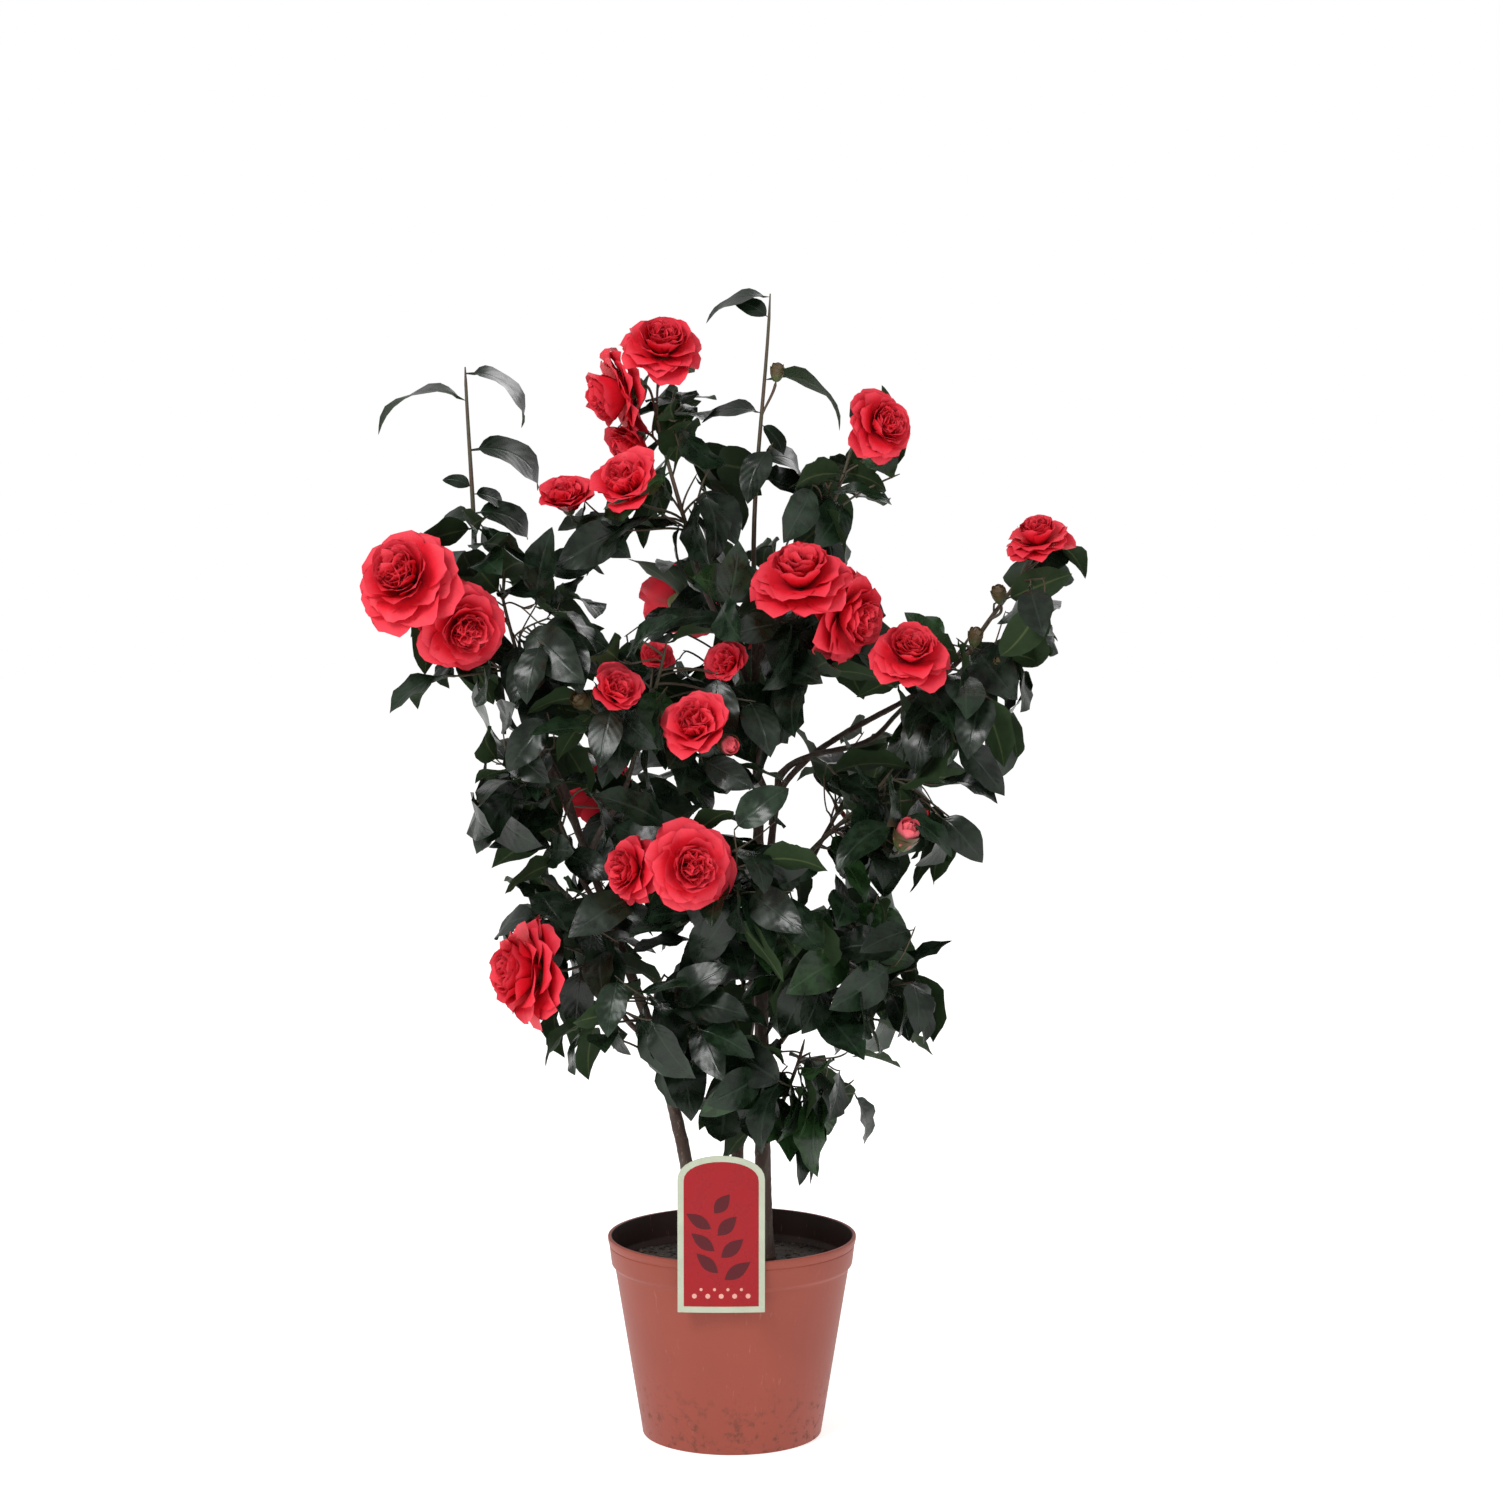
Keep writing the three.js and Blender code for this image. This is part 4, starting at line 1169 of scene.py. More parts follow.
def lofted(name, rings, first, last):
    """A closed mesh through rings of points, with a point at each end."""
    count, sides = rings.shape[:2]
    points = np.concatenate((rings.reshape(-1, 3), np.array([first, last], float)))
    faces = []
    tail, nose = count * sides, count * sides + 1
    end = (count - 1) * sides
    for j in range(sides):
        near = (j + 1) % sides
        faces += [(tail, near, j), (nose, end + j, end + near)]
        faces += [(i + j, i + near, i + sides + near, i + sides + j) for i in range(0, end, sides)]
    around = np.arange(count * sides) % sides / sides
    along = np.arange(count * sides) // sides / count
    uvs = np.stack((np.append(along, (0, 1)), np.append(around, (0, 0))), -1)
    return mesh_from(name, points, faces, uvs, np.zeros(len(faces)))


def crumb_form(seed, stretch):
    """A crumb of compost or bark, one metre across."""
    crumb = bmesh.new()
    bmesh.ops.create_icosphere(crumb, subdivisions=1, radius=0.5)
    for vertex in crumb.verts:
        bulge = 1 + 0.45 * noise.noise(vertex.co * 3.1 + Vector((seed * 7.3, 0, 0)))
        vertex.co = Vector(a * b for a, b in zip(vertex.co * bulge, stretch))
    mesh = made_mesh("crumb", crumb)
    mesh.attributes.new("mark", "INT", "FACE")
    return mesh


BARK = {"step": 3, "ridges": 1.3, "lumps": 1.2, "scar": 0.22, "scar_width": 1.6}


def tube(limb, ends, flare, fade, sides, relief, seed, scars):
    """Rings round a limb, with the ridges and leaf scars of its bark, and its two end points. It goes from
    one radius to the other, and its foot flares."""
    length = limb.length()
    shares = np.linspace(0, 1, max(4, int(length / BARK["step"])) + 1)
    middles = limb.at(shares)
    first = square_to(limb.heading(0))[0]
    rings = []
    for share, middle in zip(shares, middles):
        axis = limb.heading(share)
        first = unit(first - axis * first.dot(axis))
        second = np.cross(axis, first)
        radius = taper(ends, share) + flare * math.exp(-share * fade)
        along = share * length
        off = (along + 9 * seed) % scars - scars / 2
        scar = BARK["scar"] * math.exp(-(off**2) / BARK["scar_width"])
        ring = []
        for angle in np.arange(sides) * 2 * math.pi / sides:
            out = turned(first, second, angle)
            spot = Vector(out * radius * 0.9)
            ridge = noise.noise(spot + Vector((seed * 11.0, 0, along * 0.10)))
            lump = noise.noise(spot * 0.25 + Vector((0, seed * 5.0, along * 0.05)))
            rough = relief * (BARK["ridges"] * ridge + BARK["lumps"] * lump)
            ring.append(middle + out * (radius + rough + scar * min(1, radius / 4)))
        rings.append(ring)
    return np.array(rings), middles[0], middles[-1]


def joined_mesh(name, parts):
    """Lofted parts as one mesh."""
    whole = bmesh.new()
    for rings, first, last in parts:
        part = lofted(name, rings, first, last)
        whole.from_mesh(part)
        bpy.data.meshes.remove(part)
    mesh = made_mesh(name, whole)
    mesh.shade_smooth()
    return mesh


def lathe(name, profile, sides):
    """A closed outline of radii and heights, turned round the upright axis."""
    points, rings, faces = [], [], []
    for radius, height in profile:
        if radius == 0:
            rings.append([len(points)] * sides)
            points.append((0, 0, height))
        else:
            rings.append(list(range(len(points), len(points) + sides)))
            points += [(x, y, height) for x, y in circle(radius, sides)]
    for low, high in zip(rings, rings[1:]):
        for j in range(sides):
            near = (j + 1) % sides
            face = dict.fromkeys((low[j], low[near], high[near], high[j]))
            if len(face) > 2:
                faces.append(tuple(face))
    return mesh_from(name, points, faces)


def rounded(profile, radius, steps=3):
    """An outline with each inner corner taken off by a short curve."""
    out = [profile[0]]
    for before, corner, after in zip(profile, profile[1:], profile[2:]):
        a, b, c = (np.array(p, float) for p in (before, corner, after))
        cut = min(radius, np.linalg.norm(a - b) / 2.2, np.linalg.norm(c - b) / 2.2)
        start, end = b + towards(b, a) * cut, b + towards(b, c) * cut
        for t in np.linspace(0, 1, steps + 1):
            out.append(tuple((1 - t) ** 2 * start + 2 * t * (1 - t) * b + t * t * end))
    return [*out, profile[-1]]


def piece(name, mesh, slot, materials, *nodes):
    """An object of the shrub, which rides on its one body and stands for CAD nodes."""
    obj = placed(name, mesh)
    for material in materials:
        if material.name not in mesh.materials:
            mesh.materials.append(material)
    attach(obj, "root")
    if nodes:
        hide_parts(*nodes)


# Trees of geometry nodes


def attribute(graph, name, kind="FLOAT"):
    return graph.add("GeometryNodeInputNamedAttribute", {"data_type": kind}, {"Name": name})


def tree_with(name, inputs):
    """An empty tree of geometry nodes with named inputs."""
    tree = bpy.data.node_groups.new(name, "GeometryNodeTree")
    for label, kind in (("Geometry", "NodeSocketGeometry"), *inputs):
        tree.interface.new_socket(label, in_out="INPUT", socket_type=kind)
    tree.interface.new_socket("Geometry", in_out="OUTPUT", socket_type="NodeSocketGeometry")
    graph = Graph(tree)
    return graph, graph.add("NodeGroupInput")


@lru_cache(maxsize=None)
def dealing_tree(name, marks, *materials):
    """Deals out the forms of a collection on points, each by its own form, aim and size.
    A face's material goes by its point's tint and its form's mark."""
    graph, given = tree_with(name, (("Forms", "NodeSocketCollection"), ("Size", "NodeSocketFloat")))
    forms = graph.add(
        "GeometryNodeCollectionInfo", {},
        {"Collection": given["Forms"], "Separate Children": True, "Reset Children": True},
    )
    aim = graph.add(
        "FunctionNodeAxesToRotation", {"primary_axis": "X", "secondary_axis": "Z"},
        {0: attribute(graph, "way", "FLOAT_VECTOR"), 1: attribute(graph, "top", "FLOAT_VECTOR")},
    )
    dealt = graph.add(
        "GeometryNodeInstanceOnPoints", {},
        {
            "Points": given["Geometry"],
            "Instance": forms,
            "Pick Instance": True,
            "Instance Index": attribute(graph, "form", "INT"),
            "Rotation": aim,
            "Scale": attribute(graph, "size") * given["Size"],
        },
    )
    made = graph.add("GeometryNodeRealizeInstances", {}, {0: dealt})
    key = attribute(graph, "tint", "INT") * marks
    if marks > 1:
        key = key + attribute(graph, "mark", "INT")
    for number, material in enumerate(materials):
        chosen = graph.add("FunctionNodeCompare", {"operation": "EQUAL"}, {0: key, 1: number, "Epsilon": 0.1})
        made = graph.add("GeometryNodeSetMaterial", {}, {0: made, 1: chosen, 2: material})
    graph.add("NodeGroupOutput", {}, {0: made})
    return graph.tree


@lru_cache(maxsize=None)
def twig_tree(material):
    """Gives each line of a mesh the thickness of its points."""
    graph, given = tree_with("twigs", (("Sides", "NodeSocketInt"), ("Thickness", "NodeSocketFloat")))
    lines = graph.add("GeometryNodeMeshToCurve", {}, {0: given["Geometry"]})
    sockets = {"Resolution": given["Sides"], "Radius": 1.0}
    ring = graph.add("GeometryNodeCurvePrimitiveCircle", {"mode": "RADIUS"}, sockets)
    radius = attribute(graph, "thick") * given["Thickness"]
    tubes = graph.add("GeometryNodeCurveToMesh", {}, {0: lines, 1: ring, "Scale": radius, "Fill Caps": True})
    smooth = graph.add("GeometryNodeSetShadeSmooth", {}, {0: tubes})
    made = graph.add("GeometryNodeRealizeInstances", {}, {0: smooth})
    made = graph.add("GeometryNodeSetMaterial", {}, {0: made, 2: material})
    graph.add("NodeGroupOutput", {}, {0: made})
    return graph.tree


def grown_mesh(name, seed_mesh, tree, **inputs):
    """What a tree of geometry nodes makes of a mesh, as a plain mesh."""
    host = placed(name, seed_mesh)
    modifier = host.modifiers.new("grow", "NODES")
    modifier.node_group = tree
    for item in tree.interface.items_tree:
        if item.in_out == "INPUT" and item.name in inputs:
            modifier[item.identifier] = inputs[item.name]
    mesh = baked(host)
    mesh.name = name
    if mesh.materials[0] is None:
        mesh.materials.pop(index=0)
    return mesh


def collection_of(name, meshes):
    """Forms to deal out, in order."""
    forms = bpy.data.collections.new(name)
    for number, mesh in enumerate(meshes):
        forms.objects.link(bpy.data.objects.new(f"{name}_{number:02}", mesh))
    return forms


def drop(collection):
    for obj in list(collection.objects):
        bpy.data.objects.remove(obj)
    bpy.data.collections.remove(collection)


def dealt_mesh(name, places, forms, tree):
    """A mesh of forms dealt out on places: rows of root, way, top, size, form and tint, in millimetres."""
    roots, ways, tops, sizes, numbers, tints = zip(*places)
    seeds = bpy.data.meshes.new(name)
    seeds.from_pydata((np.array(roots) * MM).tolist(), [], [])
    for label, kind, field, values in (
        ("way", "FLOAT_VECTOR", "vector", np.array(ways).ravel()),
        ("top", "FLOAT_VECTOR", "vector", np.array(tops).ravel()),
        ("size", "FLOAT", "value", np.array(sizes) * MM),
        ("form", "INT", "value", np.array(numbers, np.int32)),
        ("tint", "INT", "value", np.array(tints, np.int32)),
    ):
        seeds.attributes.new(label, kind, "POINT").data.foreach_set(field, values)
    return grown_mesh(name, seeds, tree, Forms=forms, Size=1.0)


# The pieces


STEM_SIDES, STEM_SCARS = 28, 24
BOUGH_SIDES, BOUGH_SCARS, BOUGH_RELIEF = 14, 19, 0.6


class SHRUB_OT_limbs(bpy.types.Operator):
    """Stems and boughs with the relief of their bark"""

    bl_idname = "shrub.limbs"
    bl_label = "Stems and Boughs"

    def execute(self, context):
        wood = context.scene.shrub_wood
        relief = wood.relief / MM
        bark = finish("bark", bark_face, tuple(wood.bark))
        stems, masses = growth(context)
        for seed, (name, limb) in enumerate(stems.items()):
            ends = STEMS[name].radius
            flare = STEM_FLARE[0] * ends[0]
            part = tube(limb, ends, flare, STEM_FLARE[1], STEM_SIDES, relief, seed + 1, STEM_SCARS)
            piece(name + "_bark", joined_mesh(name, [part]), "bark", (bark,), name)
        parts, nodes = [], []
        finer = relief * BOUGH_RELIEF
        for seed, grown in enumerate(grown for grown in masses if grown.bough):
            limb, (flare, fade) = grown.bough, BOUGH_FLARE
            fade = limb.length() / fade
            parts.append(tube(limb, BOUGH_RADIUS, flare, fade, BOUGH_SIDES, finer, seed + 5, BOUGH_SCARS))
            nodes.append(grown.name + "_bough")
        piece("boughs_bark", joined_mesh("boughs", parts), "bark", (bark,), *nodes)
        return {"FINISHED"}


TWIG_STATIONS, TWIG_SIDES = 12, 7
SPINE_ROOT = 4  # how far a spine starts inside its bough


class SHRUB_OT_twigs(bpy.types.Operator):
    """Twigs of every mass, as tubes along their lines"""

    bl_idname = "shrub.twigs"
    bl_label = "Twigs"

    def execute(self, context):
        young = finish("twig", twig_face, tuple(context.scene.shrub_wood.twig))
        _, masses = growth(context)
        points, edges, thick = [], [], []
        shares = np.linspace(0, 1, TWIG_STATIONS)
        for twig in (twig for grown in masses for twig in grown.twigs):
            first = len(points)
            line = twig.limb.at(shares * twig.end)
            if twig.radii == SPINE_RADIUS:
                line[0] -= twig.limb.heading(0) * SPINE_ROOT
            points += (line * MM).tolist()
            edges += [(first + i, first + i + 1) for i in range(TWIG_STATIONS - 1)]
            thick += [taper(twig.radii, share) * MM for share in shares]
            thick[-1] *= TIP_SHARE
        lines = bpy.data.meshes.new("twig_lines")
        lines.from_pydata(points, edges, [])
        lines.attributes.new("thick", "FLOAT", "POINT").data.foreach_set("value", thick)
        mesh = grown_mesh("twigs", lines, twig_tree(young), Sides=TWIG_SIDES, Thickness=1.0)
        piece("twigs", mesh, "bark", (young,))
        return {"FINISHED"}


class SHRUB_OT_leaves(bpy.types.Operator):
    """Leaves of every mass"""

    bl_idname = "shrub.leaves"
    bl_label = "Leaves"

    def execute(self, context):
        foliage = context.scene.shrub_foliage
        back = finish("leaf_back", leaf_back, tuple(foliage.underside))
        faces = []
        for tint in ("deep", "mid", "fresh"):
            faces += [finish("leaf_" + tint, leaf_face, tuple(getattr(foliage, tint))), back]
        forms = collection_of(
            "leaf_forms",
            [leaf_form(arch, look, foliage.width_share) for arch in ARCHES for look in range(LEAF_LOOKS)],
        )
        tree = dealing_tree("leaves", 2, *faces)
        _, masses = growth(context)
        for grown in masses:
            mesh = dealt_mesh(grown.name + "_leaves", grown.leaves, forms, tree)
            piece(grown.name + "_leaves", mesh, "foliage", faces, grown.name)
        drop(forms)
        return {"FINISHED"}


# Three outer petals, three middle and three inner: width, hollow, cup, bend of the tip, ruffle and its phase
PETAL_FORMS = (
    (1.02, 0.20, 0.10, 0.30, 0.045, 0.3),
    (1.08, 0.12, 0.06, 0.24, 0.055, 1.9),
    (0.98, 0.26, 0.12, 0.34, 0.050, 3.6),
    (0.98, 0.34, 0.20, 0.12, 0.050, 0.9),
    (0.92, 0.40, 0.24, 0.16, 0.060, 2.4),
    (1.00, 0.30, 0.26, 0.08, 0.055, 4.4),
    (0.80, 0.52, 0.34, 0.05, 0.080, 0.0),
    (0.72, 0.46, 0.42, 0.10, 0.090, 2.1),
    (0.86, 0.60, 0.30, 0.02, 0.075, 4.0),
)
# After the petals come a scale and a slim scale, each with its width and hollow, then a bud's core
SCALE_FORMS = ((0.95, 0.30), (0.80, 0.34))
SCALE_FORM, PETAL_SCALE_FORM, CORE_FORM = 9, 10, 11
TINTS = {"coral": 0, "heart": 1, "blush": 2, "scale": 3}
PETAL_PLAY = {"turn": 0.25, "opening": 14, "length": 0.16}
PETAL_FOOT = 0.07  # how far the outermost petals start from the middle, of the bloom's radius
CORAL_SHARE = (0.45, 0.3)
SCALES = {"lean": 40, "close": 140, "climb": 0.75, "girth": 0.8, "length": 0.62, "turn": 0.15}
COLOURED_BUD = 23  # a bud wider than this shows its petals
CALYX = {"behind": 0.06, "girth": 0.42, "length": 0.62}
PETAL_EDGE = (0.90, 0.085, 0.125)


def petal_ring(at, face, radius, count, opens, lengths, rise, draw):
    """Petals by the golden angle, from the outermost to the innermost."""
    first, second = square_to(face)
    begin = draw() * 2 * math.pi
    places = []
    for i in range(count):
        inner = i / (count - 1)
        out = turned(first, second, begin + i * GOLDEN_ANGLE + PETAL_PLAY["turn"] * (draw() - 0.5))
        opening = math.radians(taper(opens, inner**0.85) + PETAL_PLAY["opening"] * (draw() - 0.5))
        way = turned(face, out, opening)
        top = turned(-out, face, opening)
        length = radius * taper(lengths, inner) * (0.92 + PETAL_PLAY["length"] * draw())
        root = at + face * radius * taper(rise, inner) + out * radius * PETAL_FOOT * (1 - inner)
        form = 3 * min(2, int(inner * 3)) + int(draw() * 3)
        tint = TINTS["coral" if inner < CORAL_SHARE[0] + CORAL_SHARE[1] * draw() else "heart"]
        places.append((root, way, top, length, form, tint))
    return places


def wrapped(at, face, radius, long, rows, draw):
    """Scales that wrap an egg on their way to its tip. `rows` has each row's height, count, form and tint."""
    first, second = square_to(face)
    places = []
    for row, (height, count, form, tint) in enumerate(rows):
        for i in range(count):
            turn = (i + 0.5 * (row % 2) + SCALES["turn"] * draw()) * 2 * math.pi / count
            out = turned(first, second, turn)
            lean = math.radians(SCALES["lean"] - SCALES["close"] * height**2)
            girth = radius * math.sin(math.pi * max(0.12, height * 0.5 + 0.08))
            root = at + face * long * height * SCALES["climb"] + out * girth * SCALES["girth"]
            way, top = turned(face, out, lean), turned(out, -face, lean)
            places.append((root, way, top, long * SCALES["length"], form, tint))
    return places


def bloom_places(bloom, draw, petals):
    """What a bloom is made of."""
    face, at, radius = facing(bloom.turn, bloom.rise), np.array(bloom.at, float), bloom.across / 2
    back = at + face * radius * BLOOM_BACK[bloom.form]
    green = TINTS["scale"]
    if bloom.form == "bud":
        long = radius * 2.05
        lower = (SCALE_FORM, green)
        upper = (PETAL_SCALE_FORM, TINTS["blush"]) if bloom.across > COLOURED_BUD else lower
        rows = ((0.02, 5, *lower), (0.22, 5, *lower), (0.42, 5, *upper), (0.6, 4, *upper))
        core = (back, face, square_to(face)[0], long, CORE_FORM, upper[1])
        return [core, *wrapped(back, face, radius, long, rows, draw)]
    calyx = ((0.0, 5, SCALE_FORM, green), (0.12, 5, SCALE_FORM, green))
    root = back - face * radius * CALYX["behind"]
    places = wrapped(root, face, radius * CALYX["girth"], radius * CALYX["length"], calyx, draw)
    if bloom.form == "open":
        return places + petal_ring(at, face, radius, petals, (92, 3), (0.93, 0.56), (-0.32, -0.10), draw)
    count = max(16, petals * 2 // 3)
    return places + petal_ring(at, face, radius, count, (50, 2), (1.25, 0.85), (-0.56, -0.42), draw)


class SHRUB_OT_blooms(bpy.types.Operator):
    """Double blooms, half-open cups and buds"""

    bl_idname = "shrub.blooms"
    bl_label = "Blooms"

    def execute(self, context):
        look = context.scene.shrub_blooms
        materials = [
            finish("petal_" + name, petal_face, tuple(getattr(look, name)), PETAL_EDGE)
            for name in ("coral", "heart", "blush")
        ]
        materials.append(finish("bud_scale", scale_face, tuple(look.scale)))
        forms = [petal_form(*form) for form in PETAL_FORMS]
        forms += [scale_form(*form) for form in SCALE_FORMS] + [core_form()]
        collection = collection_of("bloom_forms", forms)
        tree = dealing_tree("blooms", 1, *materials)
        _, masses = growth(context)
        for grown in (grown for grown in masses if grown.mass.blooms):
            draw = seeded(grown.mass.seed + 1000)
            places = []
            for bloom in grown.mass.blooms:
                places += bloom_places(bloom, draw, look.petals)
            mesh = dealt_mesh(grown.name + "_blooms", places, collection, tree)
            piece(grown.name + "_blooms", mesh, "foliage", materials, grown.name)
        drop(collection)
        return {"FINISHED"}


POT_SIDES = 128
POT = {
    "foot": 83, "wall": 2.2, "floor": 3, "band": 29, "step": 3, "lip": 3.5,
    "hole": 6, "hole_circle": 62, "holes": 6, "rounding": 1.1, "crease": 40,
}


class SHRUB_OT_pot(bpy.types.Operator):
    """Moulded pot with its stepped band and drainage holes"""

    bl_idname = "shrub.pot"
    bl_label = "Pot"

    def execute(self, context):
        look = context.scene.shrub_container
        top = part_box("pot")[1]
        height, rim = top.z / MM, top.y / MM
        shoulder = rim - POT["lip"] - POT["step"]
        ledge = shoulder + POT["step"]
        band = height - POT["band"]
        wall, foot = POT["wall"], POT["foot"]
        profile = [
            (0, 0), (foot - 6, 0), (foot - 4.5, 1), (foot - 2.5, 1), (foot - 1.5, 0), (foot, 0),
            (foot + 3.2, 20), (shoulder - 0.6, band - 3), (shoulder, band), (ledge, band + POT["step"]),
            (ledge + 2.1, height - 9), (ledge + 1.5, height - 8.2), (ledge + 2.4, height - 7.4),
            (rim, height - POT["lip"]), (rim, height), (rim - POT["lip"], height),
            (ledge - wall, band + POT["step"] + wall), (shoulder - wall, band),
            (foot - wall, POT["floor"]), (0, POT["floor"]),
        ]
        shell = placed("pot", lathe("pot", rounded(profile, POT["rounding"]), POT_SIDES))
        drills = bmesh.new()
        hole = {"radius1": POT["hole"] * MM, "radius2": POT["hole"] * MM, "depth": 0.02}
        for turn in np.arange(POT["holes"]) + 0.5:
            angle = turn * 2 * math.pi / POT["holes"]
            made = bmesh.ops.create_cone(drills, cap_ends=True, segments=24, **hole)
            offset = Vector((math.cos(angle), math.sin(angle), 0)) * POT["hole_circle"] * MM
            bmesh.ops.translate(drills, verts=made["verts"], vec=offset)
        cutter = placed("drills", made_mesh("drills", drills))
        cut = shell.modifiers.new("holes", "BOOLEAN")
        cut.object = cutter
        cut.solver = "EXACT"
        mesh = baked(shell)
        bpy.data.objects.remove(cutter)
        mesh.set_sharp_from_angle(angle=math.radians(POT["crease"]))
        mesh.materials.clear()
        outer = finish("pot_plastic", pot_face, tuple(look.pot))
        # The inner wall's near-black colour is painted shade for the shadowed inside of the pot
        inner = finish("pot_inside", pot_face, tuple(look.inside))
        piece("pot_shell", mesh, "terracotta", (outer, inner), "pot")
        # Faces of the inner wall take the painted-shade material
        for face in mesh.polygons:
            inwards = face.normal.xy.dot(face.center.xy.normalized()) < -0.3
            face.material_index = int(inwards and face.center.xy.length / MM > foot / 2)
        return {"FINISHED"}


CRUMBS, CHIPS = 4, 2
SOIL = {"sink": 1.4, "dip": 3.5, "gap": 0.2, "rings": 30, "sides": 96, "foot": 0.7, "spread": 0.97}


class SHRUB_OT_soil(bpy.types.Operator):
    """Compost with crumbs and chips on it"""

    bl_idname = "shrub.soil"
    bl_label = "Soil"

    def execute(self, context):
        look = context.scene.shrub_container
        low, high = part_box("soil")
        radius = high.y / MM - SOIL["gap"]
        damp = finish("compost", soil_face, tuple(look.soil))
        chip = finish("bark_chip", soil_face, (0.09, 0.055, 0.035))
        draw = seeded(77)

        def height(x, y):
            spot = Vector((x, y, 0)) * 0.045
            bumps = 1.9 * noise.noise(spot) + 0.9 * noise.noise(spot * 3.7) + 0.5 * noise.noise(spot * 9)
            return SOIL_TOP - SOIL["sink"] + bumps - SOIL["dip"] * (math.hypot(x, y) / radius) ** 6

        floor = low.z / MM
        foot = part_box("pot")[1].y / MM * SOIL["foot"]
        rows = [[(x, y, floor) for x, y in circle(foot, SOIL["sides"])]]
        for share in np.linspace(1, 0.03, SOIL["rings"]):
            rows.append([(x, y, height(x, y)) for x, y in circle(radius * share, SOIL["sides"])])
        mesh = lofted("soil", np.array(rows), (0, 0, floor), (0, 0, height(0, 0)))
        piece("soil_surface", mesh, "soil", (damp,), "soil")
        forms = [crumb_form(seed, (1, 0.8, 0.6)) for seed in range(CRUMBS)]
        forms += [crumb_form(seed + CRUMBS + 1, (1, 0.45, 0.22)) for seed in range(CHIPS)]
        collection = collection_of("crumb_forms", forms)
        places = []
        for _ in range(look.crumbs):
            turn, away = draw() * 2 * math.pi, radius * SOIL["spread"] * math.sqrt(draw())
            x, y = away * math.cos(turn), away * math.sin(turn)
            way = facing(draw() * 360, 30 * (draw() - 0.5))
            form = int(draw() * len(forms))
            chipped = form >= CRUMBS
            size = 1.6 + 3.6 * draw() ** 2 + (3.5 * draw() if chipped else 0)
            places.append((np.array((x, y, height(x, y) + 0.15 * size)), way, UP, size, form, int(chipped)))
        tree = dealing_tree("crumbs", 1, damp, chip)
        piece("soil_crumbs", dealt_mesh("crumbs", places, collection, tree), "soil", (damp, chip))
        drop(collection)
        return {"FINISHED"}


LABEL = {
    "height": 142, "shoulder": 22, "tongue": 24, "drop": 20, "thickness": 1, "border": 5.5,
    "bow": 0.0014, "panel": 0.15, "print": 0.12, "fold": 6, "rounding": 0.3,
}


def arched(width, height, shoulder, steps=16):
    """The outline of a card with an arched top, from its foot at 0."""
    arch, pull = height - shoulder, height + shoulder / 3
    knots = np.array([(width / 2, arch), (width / 2, pull), (-width / 2, pull), (-width / 2, arch)])
    return np.array([(-width / 2, 0), (width / 2, 0), *cubic(knots, np.linspace(0, 1, steps + 1))])


def leaflet(length, width, at, angle, steps=10):
    """The outline of a plain pointed leaf."""
    s = np.linspace(0, 1, steps + 1)
    half = width / 2 * np.sin(math.pi * s**0.9)
    edge = np.concatenate((np.stack((s * length, -half), 1), np.stack((s * length, half), 1)[-2:0:-1]))
    c, d = math.cos(angle), math.sin(angle)
    return edge @ np.array(((c, d), (-d, c))) + np.array(at)


def label_middle():
    low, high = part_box("label")
    return (low.x + high.x) / 2 / MM


def plates(name, outlines, back, depth):
    """Flat outlines given a thickness towards the viewer, bowed back at their sides."""
    whole = bmesh.new()
    for outline in outlines:
        face = whole.faces.new([whole.verts.new((x, 0, z)) for x, z in outline])
        extruded = bmesh.ops.extrude_face_region(whole, geom=[face])
        moved = [v for v in extruded["geom"] if isinstance(v, bmesh.types.BMVert)]
        bmesh.ops.translate(whole, verts=moved, vec=(0, -depth, 0))
    for fold in range(-6, 7):
        geometry = [*whole.verts, *whole.edges, *whole.faces]
        middle = (fold * LABEL["fold"], 0, 0)
        bmesh.ops.bisect_plane(whole, geom=geometry, plane_co=middle, plane_no=(1, 0, 0))
    bmesh.ops.recalc_face_normals(whole, faces=whole.faces)
    middle = label_middle()
    for vertex in whole.verts:
        x, y, z = vertex.co
        vertex.co = Vector((x + middle, back + y + LABEL["bow"] * x * x, z)) * MM
    return made_mesh(name, whole)


def tongue_mesh(strip, half, middle):
    """A strip of card in side view, as wide as the tongue, with soft edges."""
    tongue = bmesh.new()
    near, far = [[tongue.verts.new((middle + x, y, z)) for y, z in strip] for x in (-half, half)]
    tongue.faces.new(near)
    tongue.faces.new(far[::-1])
    for i in range(len(strip)):
        j = (i + 1) % len(strip)
        tongue.faces.new((near[i], far[i], far[j], near[j]))
    bmesh.ops.recalc_face_normals(tongue, faces=tongue.faces)
    bmesh.ops.bevel(tongue, geom=tongue.edges[:], offset=LABEL["rounding"], segments=2, affect="EDGES")
    bmesh.ops.scale(tongue, vec=(MM, MM, MM), verts=tongue.verts)
    return made_mesh("tongue", tongue)


